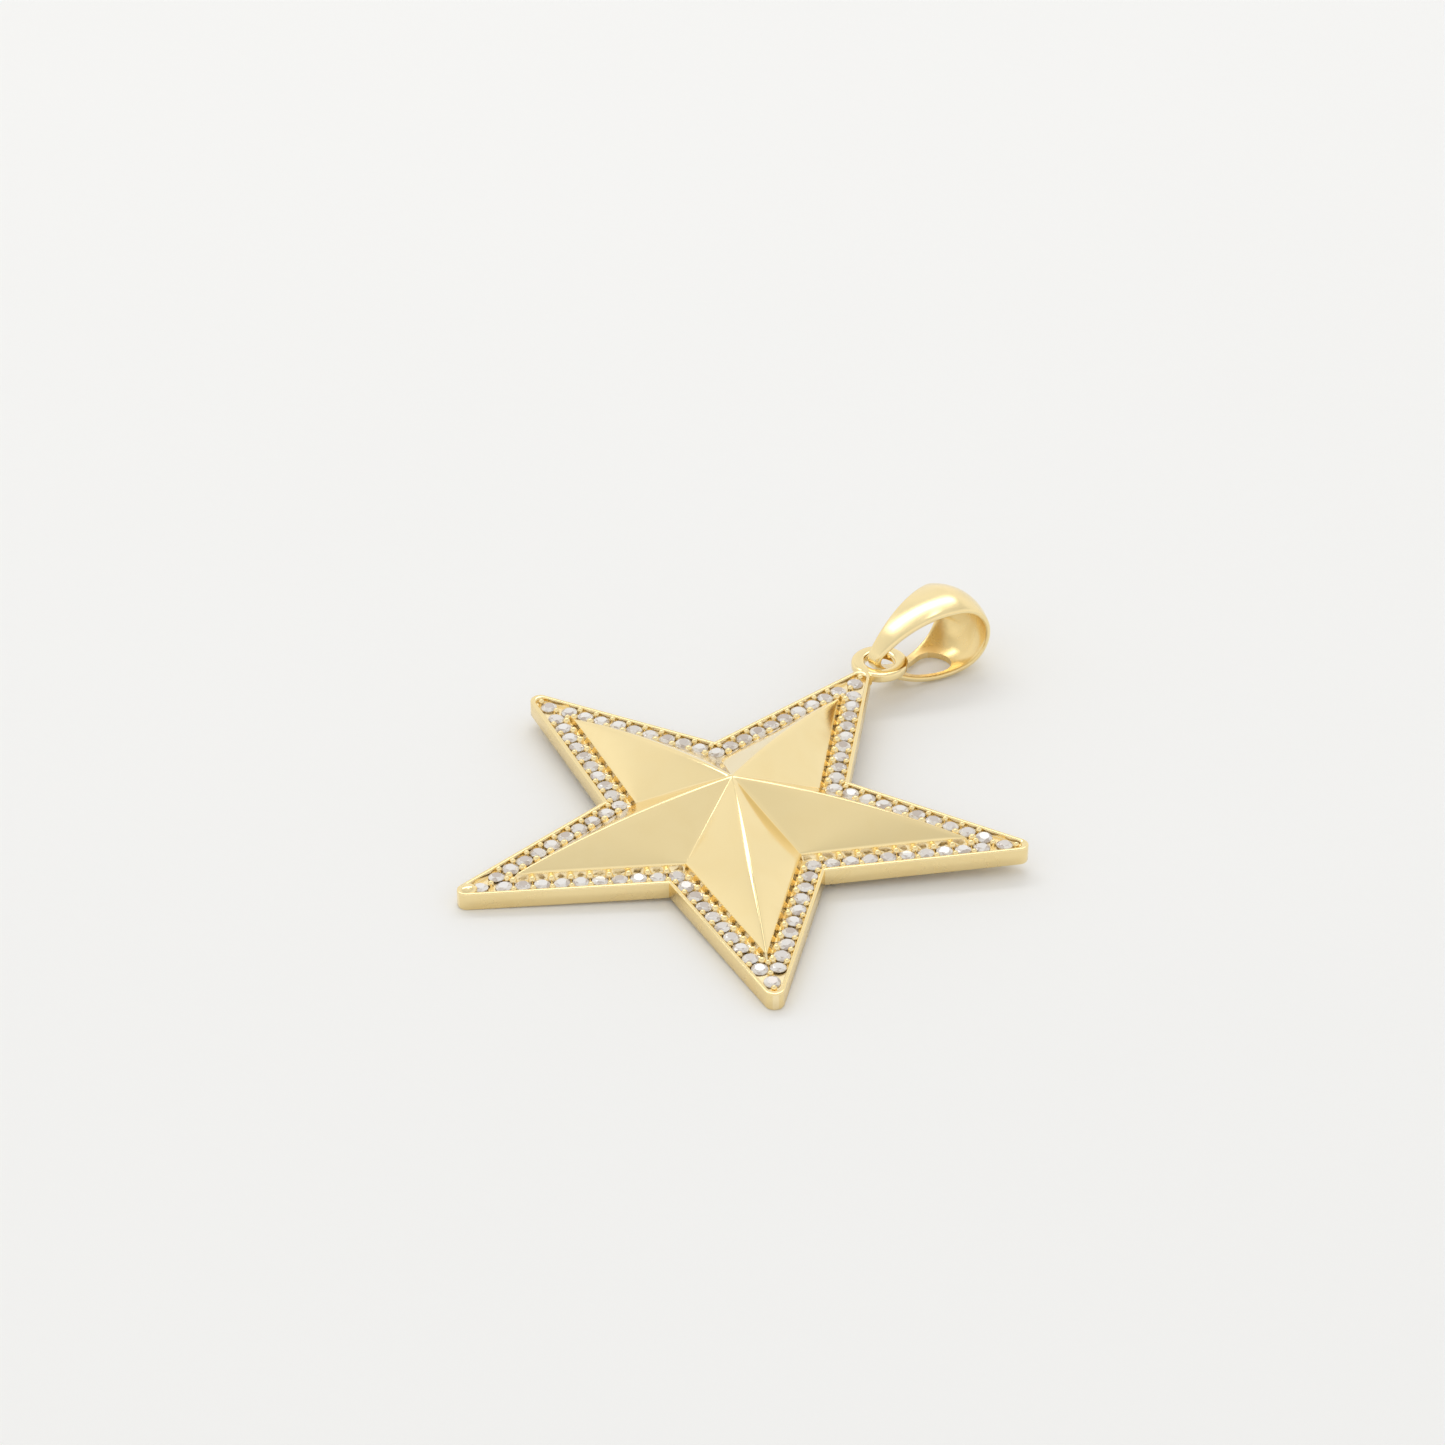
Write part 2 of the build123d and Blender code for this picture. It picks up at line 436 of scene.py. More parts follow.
def hand_polish_group() -> ShaderGroup:
    """Polished metal: slow waves left by the wheel, fine hairlines and small smears.

    Returns:
        The group, with a height for bump and a mask of the smears.
    """
    group = GroupDraft("hand_polish", Waves=260.0, Hairs=2600.0, Share=0.02)
    place = group.place()
    waves = group.noise(place, group.given["Waves"], detail=1.5, Roughness=0.4)
    streaks = {"Vector": place, "Scale": (1.0, 0.08, 1.0), "Rotation": (0.3, 0.2, 0.7)}
    stretched = group.node("ShaderNodeMapping", streaks).outputs["Vector"]
    hairs = group.noise(stretched, group.given["Hairs"], detail=3.0)
    shallow = group.work_out(Sum.PRODUCT, hairs, group.given["Share"])
    group.give("Height", group.work_out(Sum.TOTAL, waves, shallow))
    smears = group.noise(place, scale=420.0, detail=4.0, Distortion=0.6)
    group.give("Smears", group.ranged(smears, low=0.42, high=0.72))
    return group.tree


def warm_metal_group() -> ShaderGroup:
    """Gold's colour: a little deeper in the smears, with a slow drift over the piece.

    Returns:
        The group, with the colour for the shader.
    """
    gold, deep_gold = (0.95, 0.78, 0.43, 1.0), (0.90, 0.70, 0.34, 1.0)
    usual = {"Smears": 0.0, "Smear Share": 0.6, "Drift": 120.0, "Strength": 0.5}
    group = GroupDraft("warm_metal", Bright=gold, Deep=deep_gold, **usual)
    drift = group.noise(group.place(), group.given["Drift"], detail=2.0)
    both = group.work_out(Sum.PRODUCT_AND_TOTAL, group.given["Smears"], group.given["Smear Share"], drift)
    amount = group.work_out(Sum.PRODUCT, both, group.given["Strength"], clamp=True)
    group.give("Colour", group.mix(amount, group.given["Bright"], group.given["Deep"]))
    return group.tree


def cast_skin_group() -> ShaderGroup:
    """Cast metal that the wheel doesn't reach: a fine grain with shallow hollows.

    Returns:
        The group, with a height for bump.
    """
    group = GroupDraft("cast_skin", Grain=3200.0, Hollows=1100.0, Share=0.3)
    place = group.place()
    grain = group.noise(place, group.given["Grain"], detail=3.0)
    hollows = group.noise(place, group.given["Hollows"], detail=1.0)
    group.give("Height", group.work_out(Sum.PRODUCT_AND_TOTAL, grain, group.given["Share"], hollows))
    return group.tree


def painted_facet_light_group() -> ShaderGroup:
    """Painted light on cut stones: each facet painted brighter or darker by the way it faces and by its
    stone.

    Returns:
        The group, with a mask of the facets painted darker, as painted shade.
    """
    group = GroupDraft("facet_play", Variety=90.0, Spread=2.2, From=0.46, To=0.64)
    shape = group.node("ShaderNodeNewGeometry", {}).outputs
    stone = group.work_out(Sum.PRODUCT, shape["Random Per Island"], group.given["Variety"])
    # Painted reflections and shade: the noise reads each facet's facing, so facets are painted lighter or
    # darker.
    facing = group.noise(shape["True Normal"], group.given["Spread"], detail=0.0, W=stone)
    group.give("Painted Shade", group.ranged(facing, group.given["From"], group.given["To"]))
    return group.tree


@dataclass
class Workshop:
    """The shader groups that the finishes share, each built once.

    Attributes:
        hand_polish: The slow waves and smears of a polishing wheel.
        warm_metal: A colour that drifts and deepens.
        cast_skin: Fine grain and shallow hollows.
        facet_play: Stone facets painted lighter or darker, as painted reflections and shade.
    """

    hand_polish: ShaderGroup = field(default_factory=hand_polish_group)
    warm_metal: ShaderGroup = field(default_factory=warm_metal_group)
    cast_skin: ShaderGroup = field(default_factory=cast_skin_group)
    facet_play: ShaderGroup = field(default_factory=painted_facet_light_group)


class MaterialDraft(NodeDraft):
    """A material while it is being wired."""

    def __init__(self, name: str) -> None:
        """Starts a material with a shader and an output.

        Args:
            name: The material's name.
        """
        self.material = bpy.data.materials.new(name)
        self.material.use_nodes = True
        super().__init__(self.material.node_tree)

    def place(self, group: ShaderGroup, **values: Value) -> bpy.types.NodeOutputs:
        """Places a shared group with its own values and returns its outputs."""
        return self.node("ShaderNodeGroup", values, node_tree=group).outputs

    def shade(self, values: Values) -> None:
        """Feeds the shader's inputs, by name."""
        for name, value in values.items():
            self.feed(self.tree.nodes["Principled BSDF"].inputs[name], value)

    def bump(self, height: Socket, depth: float) -> None:
        """Feeds a height to the shader's normal, its depth in millimetres."""
        relief = self.node("ShaderNodeBump", {"Strength": 1.0, "Distance": depth * MM, "Height": height})
        self.shade({"Normal": relief.outputs["Normal"]})


class Look:
    """A finish that a material can be made from."""

    def wire(self, draft: MaterialDraft, shop: Workshop) -> None:
        """Wires the finish.

        Args:
            draft: The material being wired.
            shop: The shared groups.
        """
        raise NotImplementedError

    def material(self, name: str, shop: Workshop) -> Finish:
        """Makes the material.

        Args:
            name: The material's name.
            shop: The shared groups.

        Returns:
            The material.
        """
        draft = MaterialDraft(name)
        self.wire(draft, shop)
        return draft.material


@dataclass(frozen=True)
class PolishedGold(Look):
    """Yellow gold, polished on a wheel.

    Attributes:
        bright: Its colour.
        deep: Its colour in the smears and where it drifts.
        gloss: Roughness where it is clean.
        smear_gloss: Roughness in the smears.
        depth: Depth of its relief, in millimetres.
        warmth: How strongly the deeper colour shows.
    """

    bright: Colour = (0.955, 0.79, 0.44, 1.0)
    deep: Colour = (0.93, 0.74, 0.38, 1.0)
    gloss: float = 0.10
    smear_gloss: float = 0.19
    depth: float = 0.012
    warmth: float = 0.55

    def relief(self, draft: MaterialDraft, shop: Workshop) -> Socket:
        """Height of the wheel's slow waves."""
        return draft.place(shop.hand_polish)["Height"]

    def wire(self, draft: MaterialDraft, shop: Workshop) -> None:
        """Wires the metal.

        Args:
            draft: The material being wired.
            shop: The shared groups.
        """
        smears = draft.place(shop.hand_polish)["Smears"]
        tones = {"Bright": self.bright, "Deep": self.deep, "Smears": smears, "Strength": self.warmth}
        colour = draft.place(shop.warm_metal, **tones)["Colour"]
        rough = draft.ranged(smears, low=0.0, high=1.0, start=self.gloss, end=self.smear_gloss)
        draft.shade({"Base Color": colour, "Roughness": rough, "Metallic": 1.0})
        draft.bump(self.relief(draft, shop), self.depth)


@dataclass(frozen=True)
class SatinGold(PolishedGold):
    """Gold as cast and tumbled, on the sides, in the channel and at the back.

    Attributes:
        bright: Its colour.
        deep: Its colour in the smears and where it drifts.
        gloss: Roughness where it is clean.
        smear_gloss: Roughness in the smears.
        depth: Depth of its grain, in millimetres.
        warmth: How strongly the deeper colour shows.
    """

    bright: Colour = (0.95, 0.78, 0.43, 1.0)
    deep: Colour = (0.90, 0.70, 0.34, 1.0)
    gloss: float = 0.21
    smear_gloss: float = 0.35
    depth: float = 0.018
    warmth: float = 0.6

    def relief(self, draft: MaterialDraft, shop: Workshop) -> Socket:
        """Height of the cast grain."""
        return draft.place(shop.cast_skin)["Height"]


@dataclass(frozen=True)
class ClearStone(Look):
    """A clear, bright cut stone.

    Attributes:
        bright: Its colour, on the facets that are not painted with shade.
        painted_facet_shade: Its colour on the facets painted darker, as painted shade in place of a
            brilliant's dark reflections.
        gloss: Roughness of its facets.
        bending: Its index of refraction.
        clearness: How much light passes into it.
    """

    bright: Colour = (1.0, 0.975, 0.94, 1.0)
    painted_facet_shade: Colour = (0.62, 0.53, 0.46, 1.0)
    gloss: float = 0.02
    bending: float = 2.16
    clearness: float = 0.16

    def wire(self, draft: MaterialDraft, shop: Workshop) -> None:
        """Wires the stone.

        Args:
            draft: The material being wired.
            shop: The shared groups.
        """
        # Painted reflections and shade: the facets' colour mixes the lighter and the darker colour by the
        # way each facet faces.
        colour = draft.mix(draft.place(shop.facet_play)["Painted Shade"], self.bright, self.painted_facet_shade)
        draft.shade({"Base Color": colour, "Roughness": self.gloss})
        draft.shade({"IOR": self.bending, "Transmission Weight": self.clearness})


@dataclass(frozen=True)
class PaleFloor(Look):
    """A plain pale floor with a faint even grain.

    Attributes:
        colour: Its colour.
        shade: Its slightly deeper colour.
        roughness: Its roughness.
        grain_depth: Depth of its grain, in millimetres.
    """

    colour: Colour = (0.895, 0.895, 0.885, 1.0)
    shade: Colour = (0.865, 0.865, 0.855, 1.0)
    roughness: float = 0.8
    grain_depth: float = 0.03

    def wire(self, draft: MaterialDraft, shop: Workshop) -> None:
        """Wires the floor.

        Args:
            draft: The material being wired.
            shop: The shared groups.
        """
        colour = draft.place(shop.warm_metal, Bright=self.colour, Deep=self.shade, Drift=20.0)["Colour"]
        draft.shade({"Base Color": colour, "Roughness": self.roughness})
        draft.bump(draft.place(shop.cast_skin, Grain=1500.0, Hollows=500.0)["Height"], self.grain_depth)


@dataclass(frozen=True)
class StarOutline:
    """The flat star's straight-sided outline and the smaller ones drawn inside it.

    Attributes:
        arms: Number of arms.
        tip_radius: Sharp tips' distance from the centre.
        notch_radius: Inner corners' distance from the centre.
        first_arm: Direction of the hanging tip, in degrees.
        arc_steps: Steps round half a tip.
        side_steps: Steps along a side.
    """

    arms: int = 5
    tip_radius: float = 20.0
    notch_radius: float = 8.3
    first_arm: float = 90.0
    arc_steps: int = 8
    side_steps: int = 24

    @property
    def half_arm(self) -> float:
        """Angle between an arm and the inner corner beside it."""
        return math.pi / self.arms

    @property
    def half_tip(self) -> float:
        """Half of the angle at a tip."""
        rise, reach = (self.notch_radius * part(self.half_arm) for part in (math.sin, math.cos))
        return math.atan2(rise, self.tip_radius - reach)

    @property
    def side_distance(self) -> float:
        """Distance of a side's line from the centre."""
        return self.tip_radius * math.sin(self.half_tip)

    def tip_reach(self, inset: float) -> float:
        """Distance from the centre to a tip of an inset star."""
        return (self.side_distance - inset) / math.sin(self.half_tip)

    def notch_reach(self, inset: float) -> float:
        """Distance from the centre to an inner corner of an inset star."""
        return (self.side_distance - inset) / math.sin(self.half_tip + self.half_arm)

    def in_arm(self, x: float, y: float) -> Flat:
        """Distances of a point along and across the middle line of the arm that it lies in.

        Args:
            x: Distance to the right.
            y: Distance towards the hanging tip.

        Returns:
            The distance along the line and the distance from it.
        """
        angle = math.atan2(y, x) - math.radians(self.first_arm)
        off_line = (angle + self.half_arm) % (2.0 * self.half_arm) - self.half_arm
        reach = math.hypot(x, y)
        return reach * math.cos(off_line), reach * abs(math.sin(off_line))

    def inset_at(self, x: float, y: float) -> float:
        """How far inside the outer star a point lies."""
        along, across = self.in_arm(x, y)
        return self.side_distance - along * math.sin(self.half_tip) - across * math.cos(self.half_tip)

    def arm_angle(self, arm: int) -> float:
        """Direction of an arm."""
        return math.radians(self.first_arm) + 2.0 * self.half_arm * arm

    def round_arms(self, points: Sequence[Flat]) -> list[Flat]:
        """Repeats the points of an arm along +X on every arm."""
        return [point for arm in range(self.arms) for point in turned(points, self.arm_angle(arm))]

    def half_side(self, inset: float, rounding: float) -> list[Flat]:
        """Points from a tip's middle to the inner corner, for an arm along +X.

        Args:
            inset: How far inside the outer star.
            rounding: Radius of the tip.

        Returns:
            The points in order, close together at both ends of the straight side.
        """
        centre = self.tip_reach(inset) - rounding / math.sin(self.half_tip)
        sweep = math.pi / 2.0 - self.half_tip
        arc = [sweep * i / self.arc_steps for i in range(self.arc_steps + 1)]
        points = [(centre + rounding * math.cos(angle), rounding * math.sin(angle)) for angle in arc]
        start = points.pop()
        reach = self.notch_reach(inset)
        end = (reach * math.cos(self.half_arm), reach * math.sin(self.half_arm))
        for i in range(self.side_steps + 1):
            share = (1.0 - math.cos(math.pi * i / self.side_steps)) / 2.0
            points.append(tuple(a + share * (b - a) for a, b in zip(start, end)))
        return points

    def ring(self, inset: float, rounding: float, height: float) -> list[Point]:
        """A whole inset star at a height, with the same points for every arm.

        Args:
            inset: How far inside the outer star.
            rounding: Radius of the tips.
            height: Its height.

        Returns:
            The points, anticlockwise.
        """
        half = self.half_side(inset, rounding)
        arm = [(x, -y) for x, y in reversed(half)] + half[1:-1]
        return [(x, y, height) for x, y in self.round_arms(arm)]


@dataclass(frozen=True)
class RidgedStar:
    """A raised star: bowed ridges along its arms, valleys between them, and soft creases.

    Attributes:
        outline: The star it is drawn in.
        inset: How far inside the outer star its foot lies.
        foot: Height of its foot.
        peak: Height of its middle.
        bow: How far the ridges bow out from a straight line.
        ridge_softness: Rounding of a ridge at its ends.
        ridge_swell: Extra rounding half-way along a ridge.
        valley_softness: Rounding of a valley at its ends.
        valley_swell: Extra rounding part-way along a valley.
        valley_lean: Power that moves the valleys' roundest place inward, below 1, or outward.
        least_share: Share of the height under which a point counts as lying at the foot.
    """

    outline: StarOutline
    inset: float = 1.74
    foot: float = 0.1
    peak: float = 3.0
    bow: float = 0.5
    ridge_softness: float = 0.1
    ridge_swell: float = 0.05
    valley_softness: float = 0.04
    valley_swell: float = 0.06
    valley_lean: float = 0.8
    least_share: float = 1e-6

    def ridge_height(self, reach: float) -> float:
        """Height of a ridge at a distance from the centre.

        Args:
            reach: The distance.

        Returns:
            The height, on an arc from the peak to the foot.
        """
        run = self.outline.tip_reach(self.inset)
        drop = self.peak - self.foot
        chord = math.hypot(run, drop)
        radius = (chord * chord / 4.0 + self.bow * self.bow) / (2.0 * self.bow)
        out = radius - self.bow
        centre_x = run / 2.0 - out * drop / chord
        centre_z = (self.peak + self.foot) / 2.0 - out * run / chord
        return centre_z + math.sqrt(radius * radius - (reach - centre_x) ** 2)

    def height(self, x: float, y: float) -> float:
        """Height of the raised star over a point of the plan.

        Args:
            x: Distance to the right.
            y: Distance towards the hanging tip.

        Returns:
            The height.
        """
        half_arm = self.outline.half_arm
        along, across = self.outline.in_arm(x, y)
        run = self.outline.tip_reach(self.inset)
        notch = self.outline.notch_reach(self.inset)
        notch_x, notch_y = notch * math.cos(half_arm), notch * math.sin(half_arm)
        beside = along * math.sin(half_arm) - across * math.cos(half_arm)
        ridge_share = min(1.0, max(0.0, along / run))
        valley_share = min(1.0, max(0.0, math.hypot(x, y) / notch)) ** self.valley_lean
        ridge_round = self.ridge_softness + self.ridge_swell * math.sin(math.pi * ridge_share) ** 2
        valley_round = self.valley_softness + self.valley_swell * math.sin(math.pi * valley_share) ** 2
        off_ridge = math.hypot(across, ridge_round) - across
        off_valley = math.hypot(beside, valley_round) - beside
        px = along + off_valley * math.sin(half_arm)
        py = across + off_ridge - off_valley * math.cos(half_arm)
        share = (notch_y - py) / notch_y
        on_ridge = notch_x + (px - notch_x) / share if share > self.least_share else run
        return self.foot + (self.ridge_height(min(on_ridge, run)) - self.foot) * max(share, 0.0)


@dataclass(frozen=True)
class BorderStones:
    """Where the border's stones and the beads between them stand.

    Attributes:
        outline: The star that they follow.
        rim_width: Width of the rim outside them.
        radius: A stone's radius at its girdle.
        gap: Least gap between stones of a row.
        pair_gap: Gap of the pair nearest a tip.
        rim_gap: Gap from a row to the rim.
        tip_gap: Gap from the tip stone to the rim.
        bead_radius: A bead's radius in the solids.
        bead_gap: Gap from a bead to its stones.
        inner_shift: How much further from the row the beads beside the raised star stand.
        scoop_shift: Distance from a stone's middle to that of its scoop in the bed.
        corner_scoop_shift: The same at an inner corner.
    """

    outline: StarOutline
    rim_width: float = 0.28
    radius: float = 0.525
    gap: float = 0.14
    pair_gap: float = 0.075
    rim_gap: float = 0.065
    tip_gap: float = 0.126
    bead_radius: float = 0.17
    bead_gap: float = 0.035
    inner_shift: float = 0.06
    scoop_shift: float = 0.41
    corner_scoop_shift: float = 0.5

    @property
    def row_inset(self) -> float:
        """How far inside the outer star the rows' line lies."""
        return self.rim_width + self.radius + self.rim_gap

    @property
    def row_length(self) -> float:
        """Length of a row's line from its tip to its inner corner.

        Returns:
            The length, on a star that is smaller than the outline all round.
        """
        outline = self.outline
        run = outline.tip_radius - outline.notch_radius * math.cos(outline.half_arm)
        return run * outline.tip_reach(self.row_inset) / (outline.tip_radius * math.cos(outline.half_tip))

    @property
    def pair_distance(self) -> float:
        """Distance along a row from its tip to its first stone."""
        return (self.radius + self.pair_gap / 2.0) / math.sin(self.outline.half_tip)

    @property
    def steps(self) -> int:
        """Steps from a row's first stone to its inner corner."""
        return int((self.row_length - self.pair_distance) / (2.0 * self.radius + self.gap))

    @property
    def pitch(self) -> float:
        """Distance between stones of a row."""
        return (self.row_length - self.pair_distance) / self.steps

    @property
    def tip_stone(self) -> float:
        """Distance of a tip's stone from the centre."""
        back = (self.radius + self.tip_gap) / math.sin(self.outline.half_tip)
        return self.outline.tip_reach(self.rim_width) - back

    @property
    def bead_reach(self) -> float:
        """Distance from a stone's middle to a bead that holds it."""
        return self.radius + self.bead_radius + self.bead_gap

    def row_point(self, along: float, inward: float, side: int) -> Flat:
        """Point beside an arm's row, for an arm along +X.

        Args:
            along: Distance along the row from its tip.
            inward: Distance from the row towards the raised star.
            side: 1 or -1, for the two rows of the arm.

        Returns:
            The point.
        """
        half_tip = self.outline.half_tip
        x = self.outline.tip_reach(self.row_inset) - along * math.cos(half_tip) - inward * math.sin(half_tip)
        y = along * math.sin(half_tip) - inward * math.cos(half_tip)
        return (x, side * y)

    def _rows(self, start: float, numbers: Iterable[int], inward: float) -> list[Flat]:
        """Points beside both rows of an arm.

        Args:
            start: Distance along the row to the place with number 0.
            numbers: The places to fill, each a pitch after the one before it.
            inward: Distance from the row towards the raised star.

        Returns:
            The points of one row, then those of the other.
        """
        places = [start + i * self.pitch for i in numbers]
        return [self.row_point(place, inward, side) for side in (1, -1) for place in places]

    def stones(self) -> list[Flat]:
        """Middles of all the stones."""
        ends = [(self.tip_stone, 0.0), self.row_point(self.row_length, 0.0, 1)]
        return self.outline.round_arms(ends + self._rows(self.pair_distance, range(self.steps), 0.0))

    def scoops(self) -> list[Flat]:
        """Middles of the scoops in the bed, between a stone and the raised star.

        Returns:
            One scoop for each stone that has another on both sides of it.
        """
        x, y = self.row_point(self.row_length, 0.0, 1)
        back = 1.0 - self.corner_scoop_shift / math.hypot(x, y)
        rows = self._rows(self.pair_distance, range(1, self.steps), self.scoop_shift)
        return self.outline.round_arms([(x * back, y * back)] + rows)

    def beads(self) -> tuple[list[Flat], list[Flat]]:
        """Middles of the beads.

        Returns:
            The beads beside the rim and at the tips, and those beside the raised star.
        """
        reach = self.bead_reach
        offset = math.sqrt(reach**2 - (self.pitch / 2.0) ** 2)
        pair_x, pair_y = self.row_point(self.pair_distance, 0.0, 1)
        pair_bead = pair_x - math.sqrt(reach**2 - pair_y**2)
        tip = [(x, 0.0) for x in (self.tip_stone + reach, self.tip_stone - reach, pair_bead)]
        first, numbers = self.pair_distance + self.pitch / 2.0, range(self.steps)
        outer, inner = (self._rows(first, numbers, shift) for shift in (-offset, offset + self.inner_shift))
        return self.outline.round_arms(tip + outer), self.outline.round_arms(inner)


@dataclass
class StarCasting:
    """The cast star: rim, channel, beads, raised middle, hollow back, neck and loop.

    Attributes:
        outline: Its outline.
        border: Where its stones and beads stand.
        raised: The raised star in the middle.
        hollow: The hollow behind it.
        thickness: Thickness of the plate.
        tip_rounding: Radius of the tips.
        channel_rounding: Radius of the channel's tips.
        sharp_tip: Radius of the tips of the raised star's foot and of the hollow.
        edge: Rounding of the rim's edges.
        bevel: How far the middle ring of the back's edges is set back, as a share of edge.
        soft: Rounding of the bed's edges.
        bed_depth: Depth of the bed that the stones are let into.
        bed_inset: How far inside the outline the bed ends, at the foot of the raised star.
        lip: Inset past the foot of the raised star's lowest ring, and the tip radius that its rings
            and the hollow's are shrunk from.
        foot_steps: Inset past the foot, tip radius and drop of each ring round its foot.
        seat: Radius and height of each step of a stone's seat, from the back up.
        scoop: Radius and height of each step of a scoop in the bed, from its floor up.
        tool_sides: Sides of a seat or a scoop.
        outer_bead: Radius of the beads beside the rim, and their height over it.
        inner_bead: The same for the beads beside the raised star.
        bead_root: Depth that a bead's post starts at, inside the bed.
        bead_foot: Share of a bead's radius that its post starts with.
        bead_slopes: Angles of the rings up a bead's head, in radians.
        bead_sides: Sides of a bead.
        loop_stand: Distance from the tip's end to the loop's middle.
        loop_offset: How far to the right of the tip the loop sits.
        loop_depth: Depth of the loop's middle plane.
        loop_radius: Radius of the loop's wire line.
        loop_wire: Half of the wire's width and height.
        loop_blunt: Bluntness of the wire's section.
        loop_steps: Steps round the loop and round its wire.
        neck_size: Half of the neck's width and height.
        neck_overlap: How far the neck reaches into the tip.
        neck_waist: How much slimmer its middle is, as a share.
        neck_blunt: Bluntness of its section.
        neck_sides: Its number of sides.
        neck_shares: Places of its rings along it, as shares of its length.
        nub_arm: Number of the arm with a nub at its tip.
        nub_size: Half of the nub's length, width and height.
        nub_depth: Depth of the nub's middle.
        nub_gap: Gap from the nub to the tip's end.
        nub_fullness: Power of the cosine that gives its width by its height, 1 for an ellipse.
        nub_steps: Steps up the nub and round it.
        raised_rings: Rings of the raised star.
        hollow_shares: Sizes of the hollow's rings, as shares of its foot.
        underside: Upward part of a face's normal under which it counts as underneath.
        rim_margin: How far from the rim's line the channel's finish still reaches.
        crease: Angle between faces that stays a crease, in degrees.
    """

    outline: StarOutline
    border: BorderStones
    raised: RidgedStar
    hollow: RidgedStar
    thickness: float = 1.2
    tip_rounding: float = 0.63
    channel_rounding: float = 0.44
    sharp_tip: float = 0.06
    edge: float = 0.09
    bevel: float = 0.3
    soft: float = 0.03
    bed_depth: float = 0.31
    bed_inset: float = 1.63
    lip: Flat = (0.04, 0.08)
    foot_steps: tuple[Point, ...] = ((0.01, 0.07, 0.03), (0.0, 0.06, 0.08))
    seat: tuple[Flat, ...] = ((0.346, -1.5), (0.346, -0.55), (0.54, -0.34), (0.54, 0.3))
    scoop: tuple[Flat, ...] = ((0.16, -0.40), (0.33, -0.37), (0.41, -0.26), (0.44, 0.06))
    tool_sides: int = 24
    outer_bead: Flat = (0.2, 0.08)
    inner_bead: Flat = (0.25, 0.11)
    bead_root: float = 0.42
    bead_foot: float = 0.93
    bead_slopes: tuple[float, ...] = (0.0, 0.35, 0.7, 1.05, 1.32)
    bead_sides: int = 12
    loop_stand: float = 1.61
    loop_offset: float = 0.25
    loop_depth: float = 0.36
    loop_radius: float = 1.45
    loop_wire: Flat = (0.45, 0.33)
    loop_blunt: float = 0.55
    loop_steps: tuple[int, int] = (72, 24)
    neck_size: Flat = (0.65, 0.33)
    neck_overlap: float = 0.6
    neck_waist: float = 0.12
    neck_blunt: float = 0.5
    neck_sides: int = 24
    neck_shares: tuple[float, ...] = (0.0, 0.35, 0.7, 1.0)
    nub_arm: int = 2
    nub_size: Point = (0.66, 0.57, 0.46)
    nub_depth: float = 0.24
    nub_gap: float = 0.01
    nub_fullness: float = 0.8
    nub_steps: tuple[int, int] = (12, 28)
    raised_rings: int = 46
    hollow_shares: tuple[float, ...] = (0.8, 0.6, 0.4, 0.2)
    underside: float = -0.5
    rim_margin: float = 0.02
    crease: float = 38.0

    @property
    def tip_end(self) -> float:
        """Distance of a rounded tip from the centre."""
        back = self.tip_rounding / math.sin(self.outline.half_tip)
        return self.outline.tip_radius - back + self.tip_rounding

    @property
    def loop_distance(self) -> float:
        """Distance of the loop's middle from the centre."""
        return self.tip_end + self.loop_stand

    def _shrunk(self, ridged: RidgedStar, inset: float, share: float) -> list[Point]:
        """A ring on a ridged star, shrunk towards the centre."""
        flat = [(x * share, y * share) for x, y, _ in self.outline.ring(inset, self.lip[1], 0.0)]
        return [(x, y, ridged.height(x, y)) for x, y in flat]

    def _rounded(self, inset: float, rounding: float, outward: int) -> list[Point]:
        """Rings over a rounded edge, from its level side to its upright side.

        Args:
            inset: Inset of the upright side.
            rounding: Tip radius of the upright side.
            outward: 1 where the upright side faces out, -1 where it faces in.

        Returns:
            Inset, tip radius and height of each ring.
        """
        rings = []
        for angle in (0.0, math.pi / 6.0, math.pi / 3.0, math.pi / 2.0):
            shift = outward * self.edge * (1.0 - math.sin(angle))
            tip = rounding - shift if outward > 0 else rounding
            rings.append((inset + shift, tip, self.edge * (math.cos(angle) - 1.0)))
        return rings

    def plate(self) -> Piece:
        """Builds the plate, the raised star and the hollow as one closed body.

        Returns:
            The body that the rest is cut from and joined to.
        """
        raised, hollow, edge, soft = self.raised, self.hollow, self.edge, self.soft
        back, bed, rim, bevel = -self.thickness, -self.bed_depth, self.border.rim_width, edge * self.bevel
        skirt = [  # inset, tip radius and height, from the raised star's foot out and round to the hollow
            *((raised.inset + past, tip, raised.foot - drop) for past, tip, drop in self.foot_steps),
            (self.bed_inset + soft / 3.0, self.sharp_tip, bed + soft),
            (self.bed_inset - soft, self.sharp_tip, bed),
            (rim + soft, self.channel_rounding, bed),
            (rim, self.channel_rounding, bed + soft),
            *reversed(self._rounded(rim, self.channel_rounding, -1)),
            *self._rounded(0.0, self.tip_rounding, 1),
            (0.0, self.tip_rounding, back + edge),
            (bevel, self.tip_rounding - bevel, back + bevel),
            (edge, self.tip_rounding - edge, back),
            (hollow.inset - edge, self.sharp_tip, back),
            (hollow.inset, self.sharp_tip, back + edge),
            (hollow.inset, self.sharp_tip, hollow.foot),
        ]
        shares = [i / self.raised_rings for i in range(1, self.raised_rings + 1)]
        rings = [self._shrunk(raised, raised.inset + self.lip[0], share) for share in shares]
        rings += [self.outline.ring(*row) for row in skirt]
        rings += [self._shrunk(hollow, hollow.inset, share) for share in self.hollow_shares]
        draft = MeshDraft()
        added = draft.add_skin(rings)
        draft.close_to(added[0], (0.0, 0.0, raised.height(0.0, 0.0)))
        draft.close_to(added[-1], (0.0, 0.0, hollow.height(0.0, 0.0)), outward=False)
        return draft.build("star_casting")

